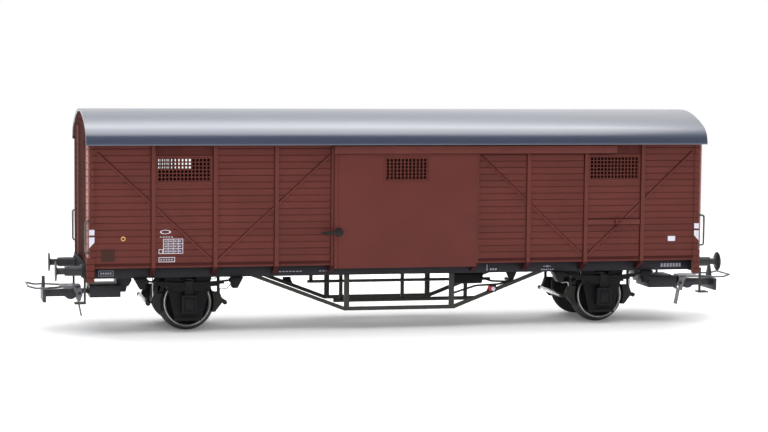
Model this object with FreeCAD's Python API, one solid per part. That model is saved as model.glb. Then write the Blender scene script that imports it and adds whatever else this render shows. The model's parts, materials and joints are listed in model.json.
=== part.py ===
import FreeCAD
import Part
import math
import os
from FreeCAD import Vector

# A 1:87 model of a two-axle covered goods van with sliding doors and hoop couplers.
# X runs along the van, -Y is the near side, Z is up, and lengths are in millimetres.
# Heights in this file are above the rail. save() lifts every piece by the flange depth,
# so Z = 0 in the STEP files is the flat surface that the flanges stand on.
# The far side is the near side turned half a turn about Z, as on the real van.

# ---- body shell ----
body_len = 142.0
body_wid = 30.0
wall_thk = 1.0
wall_bottom = 13.95
eave_z = 41.05
floor_thk = 1.4
ballast_len = 80.0
ballast_wid = 17.0
ballast_thk = 1.5

# ---- roof ----
roof_end_lap = 0.6      # roof past each end wall
roof_side_lap = 2.7     # roof past each side wall
roof_thk = 0.6
roof_rise = 7.55        # from the eave to the ridge
eave_radius = 4.4

# ---- side framing ----
post_wid = 1.05
post_proud = 0.4
post_spacing = 13.75    # between the three posts of one side
end_bay_wid = 14.25     # outer post to the end of the body
corner_wid = 1.4
end_proud = 0.4         # end frame past the body length
corner_round = 0.8
foot_drop = 2.05        # post foot below the wall
corner_foot_drop = 3.05
brace_wid = 0.6
brace_proud = 0.25
brace_foot_rise = 1.6    # lower end of a brace above the wall's edge
brace_top_drop = 1.7     # upper end below the eave
brace_corner_gap = 0.7   # upper end in from a corner post
bay_bar_bottom = 22.5
bay_bar_high = 1.45
end_panel_half = 7.7    # sunk middle panel of an end
end_panel_sunk = 0.35
end_arch_high = 2.4     # frame left under the roof above that panel

# ---- vents ----
vent_wid = 11.9
vent_high = 5.5
vent_mid_z = 35.6
vent_cols = 14
vent_rows = 6
vent_pitch = 0.83
vent_hole = 0.56
grille_thk = 0.35
door_vent_wid = 10.0
door_vent_high = 5.1
door_vent_cols = 11
door_vent_pitch = 0.86

# ---- sliding doors ----
door_wid = 33.0
door_mid = 0.25         # middle of the near door
door_bottom = 13.3
door_thk = 0.65
door_gap = 0.6          # door to wall
latch_inset = 0.4       # latch plate, in from the door's edge
latch_low = 20.5
latch_high = 22.5
latch_wid = 1.1
handle_len = 5.0
door_lap = 0.9          # door past each side of the doorway
doorway_top = 38.6
rail_bottom = 38.95
rail_high = 1.9
rail_thk = 0.4
rail_gap = 0.15         # door to rail cover
rail_past = 0.15        # rail cover past the closed and the open door
catch_wid = 1.6
catch_gap = 0.15        # end of the rail cover to the catch
catch_inset = 0.2       # catch, in from the edges of its bar
door_post_gap = 0.2     # edge of the closed door to the middle of its post

# ---- underframe ----
solebar_face = 11.7     # outer face of the solebar
solebar_bottom = 11.35
solebar_web = 0.7
solebar_flange = 1.7
headstock_proud = 0.6
headstock_lip = 0.9     # headstock front plate above the floor line
crossbar_thk = 1.2
queen_x = 12.3          # queen post from the middle
queen_wid = 1.15
truss_foot_x = 34.3     # where a sloping stay meets the solebar
truss_bottom = 3.2
truss_bar = 0.83
truss_thk = 0.8
stay_clear = 0.1        # stay to a spring bracket notched round it

# ---- wheels and running gear ----
wheelbase = 96.9
tread_radius = 5.5
flange_depth = 0.9
flange_wid = 0.8
wheel_wid = 2.8
back_to_back = 14.4
axle_radius = 1.0
pivot_radius = 0.5
pivot_reach = 12.7      # axle end from the middle
pivot_play = 0.05
guard_thk = 0.6
guard_top_wid = 10.4
guard_foot_wid = 5.8
guard_foot_z = 1.65
guard_slot_wid = 3.4     # opening above the spring
keep_high = 0.85         # plate across the foot of an axleguard
keep_proud = 0.35
box_wid = 3.4
box_low = 3.5
box_high = 7.6
box_face = 13.8
spring_half = 9.4
spring_top = 10.35
leaf_thk = 0.38
leaf_count = 5
leaf_step = 1.5
spring_wid = 1.0
spring_gap = 0.3        # spring to axleguard
shackle_gap = 0.1

# ---- brakes ----
shoe_gap = 0.45
shoe_thk = 1.7           # face of a shoe to the back of its hanger
shoe_high = 4.5
shoe_bulge = 0.5         # lug in the middle of a shoe's back
shoe_wid = 1.55
beam_radius = 0.4
beam_reach = 9.2
beam_gap = 0.6          # beam to the back of a shoe
cylinder_radius = 1.9
cylinder_len = 7.0
cylinder_mid = (17.8, -4.0, 9.9)
rod_radius = 0.35
upper_rod = (-19.2, 24.7, 8.65)     # ends along the van, and height
lower_rod = (-13.0, 21.0, 4.15)
upper_hanger_xs = (-18.2,)
lower_hanger_xs = (-11.1, 3.6, 18.9)
hanger_wid = 0.8
hanger_thk = 0.6
vee_x = 26.8            # brake shaft's V hanger
vee_wid = 2.6
vee_low = 9.1
lever_x = 20.4          # changeover lever's plate
lever_low = 6.9
lever_wid = 2.4
lever_high = 1.6

# ---- buffers ----
buffer_y = 10.06
buffer_z = 13.0
buffer_reach = 6.3      # from the headstock to the buffer face
buffer_head_radius = 2.2
buffer_head_thk = 0.45
buffer_neck_radius = 0.75
sleeve_radius = 1.08
sleeve_len = 4.1
sleeve_base_radius = 1.5
sleeve_base_thk = 0.5

# ---- couplers ----
coupler_box_wid = 9.0
coupler_box_low = 6.35
coupler_box_high = 9.0
coupler_box_inset = 1.4     # front of the box, in from the end of the body
coupler_box_len = 6.85
coupler_box_wall = 0.8
coupler_neck_len = 2.6
swing_inset = 3.0           # coupler pivot pin, in from the end of the body
swing_pin_radius = 0.6
tail_low = 7.0
tail_high = 8.2
tail_wid = 2.4
pocket_reach = 4.2          # pocket's front past the end of the body
pocket_len = 4.2
pocket_wid = 3.0
pocket_low = 6.35
pocket_high = 7.9
belly_radius = 1.55
shank_wid = 2.2
shank_low = 6.35
shank_high = 7.9
shank_len = 4.1
head_thk = 0.7
head_wid = 8.6
head_low = 5.4
head_high = 8.2
spike_high = 10.95
spike_wid = 2.6
lift_reach = 0.7            # hoop pivot past the end of the body
lift_z = 7.05
lift_pin_radius = 0.35
hoop_reach = 3.5            # hoop past the bumper plate
hoop_wid = 9.2
hoop_wire = 0.22            # radius
hoop_z = 8.65
hoop_plate_wid = 5.6
hoop_plate_thk = 0.4
ear_thk = 0.45
ear_gap = 0.1
trip_low = 1.8
trip_thk = 0.32
trip_wid = 1.6

# ---- handrails and steps ----
handrail_low = 17.3
handrail_high = 24.7
handrail_reach = 1.05
handrail_lean = 0.25    # rail past the end frame
handrail_radius = 0.22
step_bar = 0.5
step_low = 6.1
step_len = 2.4
step_wid = 2.6
step_grip = 1.2         # height of the bar's seat on the corner leg
step_thk = 0.35

# ---- values that follow ----
half_len = body_len / 2
face_y = body_wid / 2                       # outer face of a side wall
inner_y = face_y - wall_thk
floor_top = wall_bottom + floor_thk
half_roof = face_y + roof_side_lap
crown_radius = (((half_roof - eave_radius) ** 2 + roof_rise ** 2 - eave_radius ** 2)
                / (2 * (roof_rise - eave_radius)))
outer_post_x = half_len - end_bay_wid
post_xs = (outer_post_x - 2 * post_spacing, outer_post_x - post_spacing, outer_post_x)
vent_x = outer_post_x - post_spacing / 2
doorway_wid = door_wid - 2 * door_lap
door_back = face_y + door_gap
door_front = door_back + door_thk
door_x0 = door_mid - door_wid / 2
door_x1 = door_mid + door_wid / 2
rail_x0 = door_x0 - rail_past
rail_x1 = door_x1 + door_wid + rail_past
rail_top = rail_bottom + rail_high
rail_face = door_front + rail_gap + rail_thk
door_top = rail_top - rail_thk - 0.25
axle_x = wheelbase / 2
axle_z = tread_radius
wheel_back = back_to_back / 2
wheel_face = wheel_back + wheel_wid
flange_radius = tread_radius + flange_depth
ballast_bottom = wall_bottom - ballast_thk
flange_tip_y = solebar_face - solebar_flange
beam_x = tread_radius + shoe_gap + shoe_thk + beam_gap + beam_radius
headstock_face = half_len + headstock_proud
headstock_half_wid = inner_y - 0.05
buffer_face = headstock_face + buffer_reach
swing_x = half_len - swing_inset
pocket_x1 = half_len + pocket_reach
pocket_x0 = pocket_x1 - pocket_len
head_x0 = pocket_x1 + shank_len
lift_x = half_len + lift_reach
hoop_tip = head_x0 + head_thk + hoop_reach
end_face = half_len + end_proud
side_face = face_y + post_proud
coupler_box_x1 = half_len - coupler_box_inset
coupler_box_x0 = coupler_box_x1 - coupler_box_len
coupler_neck_x0 = coupler_box_x0 - coupler_neck_len


def box(x0, x1, y0, y1, z0, z1):
    """Box between two corners given in any order."""
    xs, ys, zs = sorted((x0, x1)), sorted((y0, y1)), sorted((z0, z1))
    return Part.makeBox(xs[1] - xs[0], ys[1] - ys[0], zs[1] - zs[0],
                        Vector(xs[0], ys[0], zs[0]))


def prism(points, direction):
    """Straight prism on a closed outline of 3-D points."""
    wire = Part.makePolygon([Vector(*p) for p in points] + [Vector(*points[0])])
    return Part.Face(wire).extrude(Vector(*direction))


def prism_xz(points, y0, y1):
    return prism([(x, y0, z) for x, z in points], (0, y1 - y0, 0))


def prism_yz(points, x0, x1):
    return prism([(x0, y, z) for y, z in points], (x1 - x0, 0, 0))


def prism_xy(points, z0, z1):
    return prism([(x, y, z0) for x, y in points], (0, 0, z1 - z0))


def rod(start, end, radius):
    """Round bar between two points."""
    a, b = Vector(*start), Vector(*end)
    return Part.makeCylinder(radius, (b - a).Length, a, b - a)


def ring_profile(points, axle_y_dir):
    """Solid turned about the Y axis from (radius, y) points."""
    wire = Part.makePolygon([Vector(r, axle_y_dir * y, 0) for r, y in points + points[:1]])
    return Part.Face(wire).revolve(Vector(0, 0, 0), Vector(0, 1, 0), 360)


def moved(shape, x=0.0, y=0.0, z=0.0):
    copy = shape.copy()
    copy.translate(Vector(x, y, z))
    return copy


def far(shape):
    """The same piece on the far side: half a turn about the Z axis."""
    copy = shape.copy()
    copy.rotate(Vector(0, 0, 0), Vector(0, 0, 1), 180)
    return copy


def mirrored(shape, x=False, y=False):
    """Mirror image over the planes X = 0 and Y = 0 as asked."""
    if x:
        shape = shape.mirror(Vector(0, 0, 0), Vector(1, 0, 0))
    if y:
        shape = shape.mirror(Vector(0, 0, 0), Vector(0, 1, 0))
    return shape


def four(shape):
    """A piece at the near right corner, repeated at all four corners."""
    return [mirrored(shape, x, y) for x in (False, True) for y in (False, True)]


def fused(first, *others):
    return first.multiFuse(list(others)).removeSplitter()


def solids_of(shape):
    return list(shape.Solids)


def save(name, *pieces):
    """Write one node: one solid, or like solids that don't touch."""
    solids = [s for piece in pieces for s in solids_of(piece)]
    shape = solids[0] if len(solids) == 1 else Part.makeCompound(solids)
    moved(shape, z=flange_depth).exportStep("parts/%s.step" % name)


def pierced_plate(mid_x, mid_z, wid, high, cols, rows, pitch_x, pitch_z, hole, y0, y1):
    """Flat plate in an XZ plane with a grid of square holes."""
    def loop(cx, cz, w, h):
        corners = [(-w, -h), (w, -h), (w, h), (-w, h), (-w, -h)]
        return Part.makePolygon([Vector(cx + dx / 2, y0, cz + dz / 2) for dx, dz in corners])
    wires = [loop(mid_x, mid_z, wid, high)]
    for i in range(cols):
        for j in range(rows):
            cx = mid_x + (i - (cols - 1) / 2) * pitch_x
            cz = mid_z + (j - (rows - 1) / 2) * pitch_z
            wires.append(loop(cx, cz, hole, hole))
    face = Part.Face(wires, "Part::FaceMakerBullseye")
    return face.extrude(Vector(0, y1 - y0, 0))


# ---- floor, weight and load space walls ----
def roof_section(inset):
    """Roof arch as a face in the YZ plane at X = 0, from the eave line up."""
    half = half_roof - inset
    shoulder = eave_radius - inset
    crown = crown_radius - inset
    mid_y = half - shoulder
    crown_z = eave_z + roof_rise - crown_radius
    lean = math.atan2(mid_y, eave_z - crown_z)          # crown to shoulder, from vertical
    turn = (lean + math.pi / 2) / 2

    def shoulder_point(sign, angle):
        return Vector(0, sign * (mid_y + shoulder * math.sin(angle)),
                      eave_z + shoulder * math.cos(angle))

    left, right = Vector(0, -half, eave_z), Vector(0, half, eave_z)
    top = Vector(0, 0, crown_z + crown)
    edges = [
        Part.Arc(left, shoulder_point(-1, turn), shoulder_point(-1, lean)).toShape(),
        Part.Arc(shoulder_point(-1, lean), top, shoulder_point(1, lean)).toShape(),
        Part.Arc(shoulder_point(1, lean), shoulder_point(1, turn), right).toShape(),
        Part.LineSegment(right, left).toShape(),
    ]
    return Part.Face(Part.Wire(edges))


def roof_void(x0, x1):
    """Room under the roof sheet, above the soffit strips."""
    arch = moved(roof_section(roof_thk).extrude(Vector(x1 - x0, 0, 0)), x=x0)
    above = box(x0, x1, -half_roof, half_roof, eave_z + roof_thk, eave_z + roof_rise)
    return arch.common(above)


def build_shell():
    save("floor", box(-half_len + wall_thk, half_len - wall_thk, -inner_y, inner_y,
                      wall_bottom, floor_top))
    save("ballast_weight", box(-ballast_len / 2, ballast_len / 2, -ballast_wid / 2,
                               ballast_wid / 2, ballast_bottom, wall_bottom))
    roof_half_len = half_len + roof_end_lap
    outer = moved(roof_section(0).extrude(Vector(2 * roof_half_len, 0, 0)), x=-roof_half_len)
    opening = box(-roof_half_len, roof_half_len, -inner_y, inner_y,
                  eave_z, eave_z + roof_thk)
    roof = outer.cut(roof_void(-roof_half_len, roof_half_len)).cut(opening)
    save("roof", roof.removeSplitter())

    inner_x = half_len - wall_thk
    plate = box(inner_x, end_face, -inner_y, inner_y, wall_bottom, eave_z + roof_thk)
    recess = moved(roof_section(roof_thk + end_arch_high).extrude(Vector(end_panel_sunk, 0, 0)),
                   x=end_face - end_panel_sunk)
    recess = fused(recess, box(end_face - end_panel_sunk, end_face, -face_y, face_y,
                               wall_bottom + headstock_lip, eave_z))
    recess = recess.common(box(half_len - 1, end_face + 1, -end_panel_half, end_panel_half,
                               0, eave_z + roof_rise))
    lip = box(half_len, end_face, -inner_y, inner_y, wall_bottom, wall_bottom + headstock_lip)
    wall = fused(plate, roof_void(inner_x, end_face)).cut(recess).cut(lip)
    save("end_wall_right", wall)
    save("end_wall_left", far(wall))


def build_sides():
    left = door_mid - doorway_wid / 2
    right = door_mid + doorway_wid / 2
    panels = []
    for x0, x1, mid in ((-half_len, left, -vent_x), (right, half_len, vent_x)):
        panel = box(x0, x1, -face_y, -inner_y, wall_bottom, eave_z)
        window = box(mid - vent_wid / 2, mid + vent_wid / 2, -face_y - 1, -inner_y + 1,
                     vent_mid_z - vent_high / 2, vent_mid_z + vent_high / 2)
        panels.append(panel.cut(window))
    header = box(left, right, -face_y, -inner_y, doorway_top, eave_z)
    sill = box(left, right, -face_y, -inner_y, wall_bottom, floor_top)
    save("side_panels_near", *panels)
    save("side_panels_far", *[far(p) for p in panels])
    save("doorway_frames", header, sill, far(header), far(sill))

    y0 = -face_y + 0.1
    grilles = [pierced_plate(mid, vent_mid_z, vent_wid, vent_high, vent_cols, vent_rows,
                             vent_pitch, vent_pitch, vent_hole, y0, y0 + grille_thk)
               for mid in (-vent_x, vent_x)]
    save("vent_grilles", *(grilles + [far(g) for g in grilles]))


# ---- framing on the outside of the walls ----
def foot(x0, x1, drop):
    """Bracket from the wall's lower edge in to the solebar."""
    outer = -face_y - post_proud
    return prism_yz([(outer, wall_bottom), (-solebar_face, wall_bottom),
                     (-solebar_face, wall_bottom - drop), (-solebar_face - 0.8, wall_bottom - drop),
                     (outer, wall_bottom - 0.5)], x0, x1)


def side_post(x):
    under_rail = rail_x0 - post_wid < x < rail_x1 + post_wid
    top = rail_top - rail_thk - 0.05 if under_rail else eave_z
    post = box(x - post_wid / 2, x + post_wid / 2, -face_y - post_proud, -face_y,
               wall_bottom, top)
    return fused(post, foot(x - post_wid / 2, x + post_wid / 2, foot_drop))


def brace(x0, z0, x1, z1):
    """Flat diagonal bar between two points on the wall face."""
    run = math.hypot(x1 - x0, z1 - z0)
    dx, dz = (z1 - z0) / run * brace_wid / 2, (x1 - x0) / run * brace_wid / 2
    return prism_xz([(x0 - dx, z0 + dz), (x1 - dx, z1 + dz), (x1 + dx, z1 - dz),
                     (x0 + dx, z0 - dz)], -face_y - brace_proud, -face_y)


def build_framing():
    door_posts = (door_x0 - door_post_gap, door_x1 + door_post_gap)
    xs = [-x for x in post_xs] + list(door_posts) + list(post_xs)
    posts = [side_post(x) for x in xs]
    save("side_posts_near", *posts)
    save("side_posts_far", *[far(p) for p in posts])

    # the bar fills the bay that the catch stands in, and the catch is notched round a post
    catch_x0 = rail_x1 + catch_gap
    uprights = [(x - post_wid / 2, x + post_wid / 2) for x in [door_posts[1]] + list(post_xs)]
    uprights.append((half_len - corner_wid, half_len))
    bay_x0 = max(right for left, right in uprights if left < catch_x0)
    bay_x1 = min(left for left, right in uprights if left > catch_x0)
    bar = box(bay_x0, bay_x1, -face_y - post_proud, -face_y, bay_bar_bottom,
              bay_bar_bottom + bay_bar_high)
    catch = box(catch_x0, catch_x0 + catch_wid, -door_front, -face_y,
                bay_bar_bottom + catch_inset,
                bay_bar_bottom + bay_bar_high - catch_inset)
    bar = fused(bar, catch.cut(Part.makeCompound(posts)))
    save("door_catch_bars", bar, far(bar))

    low = wall_bottom + brace_foot_rise
    top = eave_z - brace_top_drop
    corner_x = half_len - corner_wid
    end_x = corner_x - brace_corner_gap
    foot_x = post_xs[1]
    lines = [(-end_x, top, -foot_x - 0.6, low), (-foot_x + 0.6, low, door_posts[0], top),
             (foot_x - 0.6, low, door_posts[1], top), (end_x, top, foot_x + 0.6, low)]
    keep_out = posts + [bar, box(rail_x0 - 0.3, rail_x1 + 0.3, -face_y - 3, -face_y,
                                 rail_bottom - 0.1, eave_z)]
    keep_out += [box(sign * corner_x, sign * half_len, -side_face, -face_y, wall_bottom, eave_z)
                 for sign in (-1, 1)]
    solids = []
    for line in lines:
        solids += [s for s in solids_of(brace(*line).cut(Part.makeCompound(keep_out)))
                   if s.Volume > 0.5]
    save("side_braces_near", *solids)
    save("side_braces_far", *[far(s) for s in solids])


def build_corners():
    def outline(inside):
        """Corner angle seen from above, with a rounded outer edge."""
        x0, r = half_len - corner_wid, corner_round
        bend = (end_face - r, -side_face + r)
        points = [(x0, -side_face), (end_face - r, -side_face), (end_face, -side_face + r),
                  (end_face, -inner_y)] + inside
        points = [Vector(x, y, 0) for x, y in points + [(x0, -side_face)]]
        mid = Vector(bend[0] + r * math.sqrt(0.5), bend[1] - r * math.sqrt(0.5), 0)
        edges = [Part.Arc(points[1], mid, points[2]).toShape()]
        for start, end in zip(points, points[1:]):
            if start is not points[1]:
                edges.append(Part.LineSegment(start, end).toShape())
        return Part.Face(Part.Wire(Part.__sortEdges__(edges)))

    x0 = half_len - corner_wid
    angle = outline([(half_len, -inner_y), (half_len, -face_y), (x0, -face_y)])
    leg = outline([(x0, -inner_y)])
    angle = moved(angle.extrude(Vector(0, 0, eave_z - wall_bottom)), z=wall_bottom)
    leg = moved(leg.extrude(Vector(0, 0, corner_foot_drop)), z=wall_bottom - corner_foot_drop)
    save("corner_posts", *four(fused(angle, leg)))


# ---- doors ----
def build_doors():
    fascia = box(rail_x0, rail_x1, -rail_face, -rail_face + rail_thk, rail_bottom, rail_top)
    shelf = box(rail_x0, rail_x1, -rail_face, -face_y, rail_top - rail_thk, rail_top)
    rail = fused(fascia, shelf)
    save("door_rails", rail, far(rail))

    sheet = box(door_x0, door_x1, -door_front, -door_back, door_bottom, door_top)
    window = box(door_mid - door_vent_wid / 2, door_mid + door_vent_wid / 2,
                 -door_front - 1, -door_back + 1, vent_mid_z - door_vent_high / 2,
                 vent_mid_z + door_vent_high / 2)
    sheet = sheet.cut(window)
    grille = pierced_plate(door_mid, vent_mid_z, door_vent_wid, door_vent_high,
                           door_vent_cols, vent_rows, door_vent_pitch, vent_pitch - 0.05,
                           vent_hole, -door_front + 0.1, -door_back)
    plate_x0 = door_x0 + latch_inset
    plate_x1 = plate_x0 + latch_wid
    plate_y = -door_front - 0.25
    plate = box(plate_x0, plate_x1, plate_y, -door_front, latch_low, latch_high)
    handle = box(plate_x1 + 0.5 - handle_len, plate_x1 + 0.5, plate_y - 0.45, plate_y,
                 latch_low + 0.6, latch_low + 1.3)
    latch = fused(plate, handle)
    for side, place in (("near", lambda s: s), ("far", far)):
        save("door_%s" % side, place(sheet))
        save("door_grille_%s" % side, place(grille))
        save("door_latch_%s" % side, place(latch))


# ---- underframe ----
def build_underframe():
    reach = half_len - wall_thk - 0.1
    f, w = solebar_face, solebar_web
    section = [(-f, solebar_bottom), (-flange_tip_y, solebar_bottom),
               (-flange_tip_y, solebar_bottom + w), (-f + w, solebar_bottom + w),
               (-f + w, wall_bottom - w), (-flange_tip_y, wall_bottom - w),
               (-flange_tip_y, wall_bottom), (-f, wall_bottom)]
    solebar = prism_yz(section, -reach, reach)
    save("solebars", solebar, far(solebar))

    half = headstock_half_wid
    beam = box(reach, half_len, -half, half, solebar_bottom - 0.15, wall_bottom)
    front = box(half_len, headstock_face, -half, half, solebar_bottom - 0.15,
                wall_bottom + headstock_lip)
    headstock = fused(beam, front)
    save("headstocks", headstock, far(headstock))

    bars = []
    for x in (queen_x, truss_foot_x, coupler_neck_x0 - crossbar_thk / 2):
        top = ballast_bottom if x < ballast_len / 2 else wall_bottom
        for sign in (-1, 1):
            bars.append(box(sign * x - crossbar_thk / 2, sign * x + crossbar_thk / 2,
                            -flange_tip_y, flange_tip_y, solebar_bottom, top))
    save("cross_members", *bars)


def truss_stay(clear=0.0):
    """Sloping stay of the near right side, thicker all round by `clear`."""
    corner_x = queen_x + queen_wid / 2
    rise = solebar_bottom - truss_bottom
    slope = math.atan2(rise, truss_foot_x - corner_x)
    lift = truss_bar / math.cos(slope)
    spread = truss_bar / math.sin(slope)
    aside = clear / math.sin(slope)
    return prism_xz([(corner_x + aside, truss_bottom), (truss_foot_x + aside, solebar_bottom),
                     (truss_foot_x - spread - aside, solebar_bottom),
                     (corner_x - aside, truss_bottom + lift)],
                    -solebar_face - clear, -solebar_face + truss_thk + clear)


def build_truss():
    y0, y1 = -solebar_face, -solebar_face + truss_thk
    bottom_top = truss_bottom + truss_bar
    bar = box(-queen_x + queen_wid / 2, queen_x - queen_wid / 2, y0, y1,
              truss_bottom, bottom_top)
    save("truss_tie_bars", bar, far(bar))

    post = box(queen_x - queen_wid / 2, queen_x + queen_wid / 2, y0, y1,
               truss_bottom, solebar_bottom)
    save("truss_queen_posts", *four(post))

    save("truss_stays", *four(truss_stay()))


# ---- running gear, drawn for the near right wheel ----
def build_running_gear():
    y0, y1 = -solebar_face, -solebar_face + guard_thk
    top, foot_half = guard_top_wid / 2, guard_foot_wid / 2
    guard = prism_xz([(axle_x - top, solebar_bottom), (axle_x + top, solebar_bottom),
                      (axle_x + foot_half, guard_foot_z), (axle_x - foot_half, guard_foot_z)],
                     y0, y1)
    hole_radius = pivot_radius + pivot_play
    slot = guard_slot_wid / 2
    guard = guard.cut(box(axle_x - slot, axle_x + slot, y0, y1, spring_top, solebar_bottom))
    guard = guard.cut(rod((axle_x, y0, axle_z), (axle_x, y1, axle_z), hole_radius))
    keep = box(axle_x - foot_half, axle_x + foot_half, y0 - keep_proud, y1,
               guard_foot_z, guard_foot_z + keep_high)
    save("axleguards", *four(fused(guard, keep)))

    housing = box(axle_x - box_wid / 2, axle_x + box_wid / 2, -box_face, y0, box_low, box_high)
    bore = rod((axle_x, -pivot_reach - 0.1, axle_z), (axle_x, y0, axle_z), hole_radius)
    save("axleboxes", *four(housing.cut(bore)))

    sy1 = -solebar_face - spring_gap
    sy0 = sy1 - spring_wid
    leaves = [box(axle_x - spring_half + i * leaf_step, axle_x + spring_half - i * leaf_step,
                  sy0, sy1, spring_top - (i + 1) * leaf_thk, spring_top - i * leaf_thk)
              for i in range(leaf_count)]
    buckle = box(axle_x - 0.95, axle_x + 0.95, sy0 - 0.2, sy1 + 0.2, box_high,
                 spring_top + 0.35)
    save("leaf_springs", *four(fused(buckle, *leaves)))

    inner = spring_half + shackle_gap
    brackets = []
    for sign in (-1, 1):
        outline = [(inner, solebar_bottom), (inner + 2.7, solebar_bottom),
                   (inner + 1.4, spring_top - 1.4), (inner + 0.3, spring_top - 1.4)]
        bracket = prism_xz([(axle_x + sign * x, z) for x, z in outline],
                           sy0 - 0.1, -flange_tip_y)
        brackets += four(bracket.cut(truss_stay(stay_clear)))
    save("spring_brackets", *brackets)


def wheel_solid():
    """Near wheel about the Y axis, with its flange towards the middle."""
    rim_in = tread_radius - 0.9
    hub = axle_radius + 0.9
    wb, wf = wheel_back, wheel_face
    points = [(axle_radius, wb), (hub, wb), (hub + 0.3, wb + 0.7), (rim_in - 0.2, wb + 0.7),
              (rim_in, wb), (flange_radius - 0.25, wb), (flange_radius, wb + 0.2),
              (flange_radius, wb + flange_wid - 0.3), (tread_radius + 0.1, wb + flange_wid),
              (tread_radius, wb + flange_wid + 0.1), (tread_radius, wf - 0.15),
              (tread_radius - 0.15, wf), (rim_in, wf), (rim_in - 0.2, wf - 0.7),
              (hub + 0.3, wf - 0.7), (hub, wf), (axle_radius, wf)]
    return ring_profile(points, -1)


def build_wheelsets():
    axle = fused(rod((0, -wheel_face, 0), (0, wheel_face, 0), axle_radius),
                 rod((0, -pivot_reach, 0), (0, pivot_reach, 0), pivot_radius))
    wheel = wheel_solid()
    for side, x in (("left", -axle_x), ("right", axle_x)):
        save("wheelset_axle_%s" % side, moved(axle, x, 0, axle_z))
        save("wheels_%s" % side, moved(wheel, x, 0, axle_z),
             moved(mirrored(wheel, y=True), x, 0, axle_z))


# ---- brakes ----
def build_brakes():
    shoes = []
    reach = tread_radius + shoe_gap
    y_out = -wheel_face + 0.2
    y_in = y_out + shoe_wid
    hole = rod((axle_x, y_out - 1, axle_z), (axle_x, y_in + 1, axle_z), reach)
    half, back = shoe_high / 2, reach + shoe_thk
    outline = [(reach - 1.2, half), (back - 0.3, half), (back + shoe_bulge, 0.1),
               (reach + 0.35, -half), (reach - 1.2, -half)]
    for sign in (-1, 1):
        block = prism_xz([(axle_x + sign * x, axle_z + z) for x, z in outline], y_out, y_in)
        arm_x = axle_x + sign * (back - 0.3)
        arm = box(arm_x - sign * 0.7, arm_x, y_out, -flange_tip_y + 0.35, axle_z,
                  solebar_bottom)
        shoes += four(fused(block, arm).cut(hole))
    save("brake_shoes", *shoes)

    beams = []
    for sign in (-1, 1):
        x = axle_x + sign * beam_x
        beam = rod((x, -beam_reach, axle_z - 0.2), (x, beam_reach, axle_z - 0.2), beam_radius)
        beams += [beam, far(beam)]
    save("brake_beams", *beams)

    cx, cy, cz = cylinder_mid
    barrel = rod((cx - cylinder_len / 2, cy, cz), (cx + cylinder_len / 2, cy, cz),
                 cylinder_radius)
    saddle = box(cx - 1.6, cx + 1.6, cy - 1.2, cy + 1.2, cz, ballast_bottom)
    save("brake_cylinder", fused(barrel, saddle))

    pieces = []
    gap = rod_radius + 0.12
    for (x0, x1, z), hanger_xs, radius in ((upper_rod, upper_hanger_xs, rod_radius),
                                           (lower_rod, lower_hanger_xs, rod_radius + 0.1)):
        pieces.append(rod((x0, 0, z), (x1, 0, z), radius))
        pieces += [box(x - hanger_wid / 2, x + hanger_wid / 2, gap, gap + hanger_thk,
                       z - radius, ballast_bottom) for x in hanger_xs]
    save("brake_rods", *pieces)

    y = -flange_tip_y - 0.1
    vee = prism_xz([(vee_x - vee_wid / 2, solebar_bottom), (vee_x + vee_wid / 2, solebar_bottom),
                    (vee_x + 0.3, vee_low), (vee_x - 0.3, vee_low)], y - hanger_thk, y)
    save("brake_hangers", vee, far(vee))

    y = -solebar_face - 0.5
    plate = box(lever_x, lever_x + lever_wid, y, -solebar_face, lever_low,
                lever_low + lever_high)
    knob = (lever_x + 0.5, y, lever_low + lever_high - 0.5)
    lever = fused(plate, rod((knob[0], y - 0.5, knob[2]), knob, 0.35))
    save("changeover_levers", lever, far(lever))


# ---- buffers, couplers and end fittings ----
def build_buffers():
    base_x = headstock_face
    sleeve = fused(rod((base_x, -buffer_y, buffer_z),
                       (base_x + sleeve_base_thk, -buffer_y, buffer_z), sleeve_base_radius),
                   rod((base_x, -buffer_y, buffer_z),
                       (base_x + sleeve_len, -buffer_y, buffer_z), sleeve_radius))
    save("buffer_sleeves", *four(sleeve))
    back = buffer_face - buffer_head_thk
    head = fused(rod((base_x + sleeve_len, -buffer_y, buffer_z),
                     (back, -buffer_y, buffer_z), buffer_neck_radius),
                 rod((back, -buffer_y, buffer_z), (buffer_face, -buffer_y, buffer_z),
                     buffer_head_radius))
    save("buffer_heads", *four(head))


def coupler_box():
    """Box under the floor that holds the coupler's tail, drawn at the right end."""
    half, wall = coupler_box_wid / 2, coupler_box_wall
    x0, x1 = coupler_box_x0, coupler_box_x1
    shell = box(x0, x1, -half, half, coupler_box_low, coupler_box_high)
    slot = box(x0 + wall, x1 + 1, -half + wall, half - wall, tail_low - 0.05, tail_high + 0.05)
    pin = rod((swing_x, 0, tail_low - 0.05), (swing_x, 0, tail_high + 0.05), swing_pin_radius)
    low, x = tail_low + 0.4, coupler_neck_x0
    neck = prism_xz([(x0 + wall, low), (x0 - 1.3, low), (x0 - 1.5, low + 1.1),
                     (x0 - 2.0, low + 1.4), (x, low + 2.5), (x, wall_bottom),
                     (x0 + wall, wall_bottom)], -half + 1.2, half - 1.2)
    return fused(shell.cut(slot), pin, neck)


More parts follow.
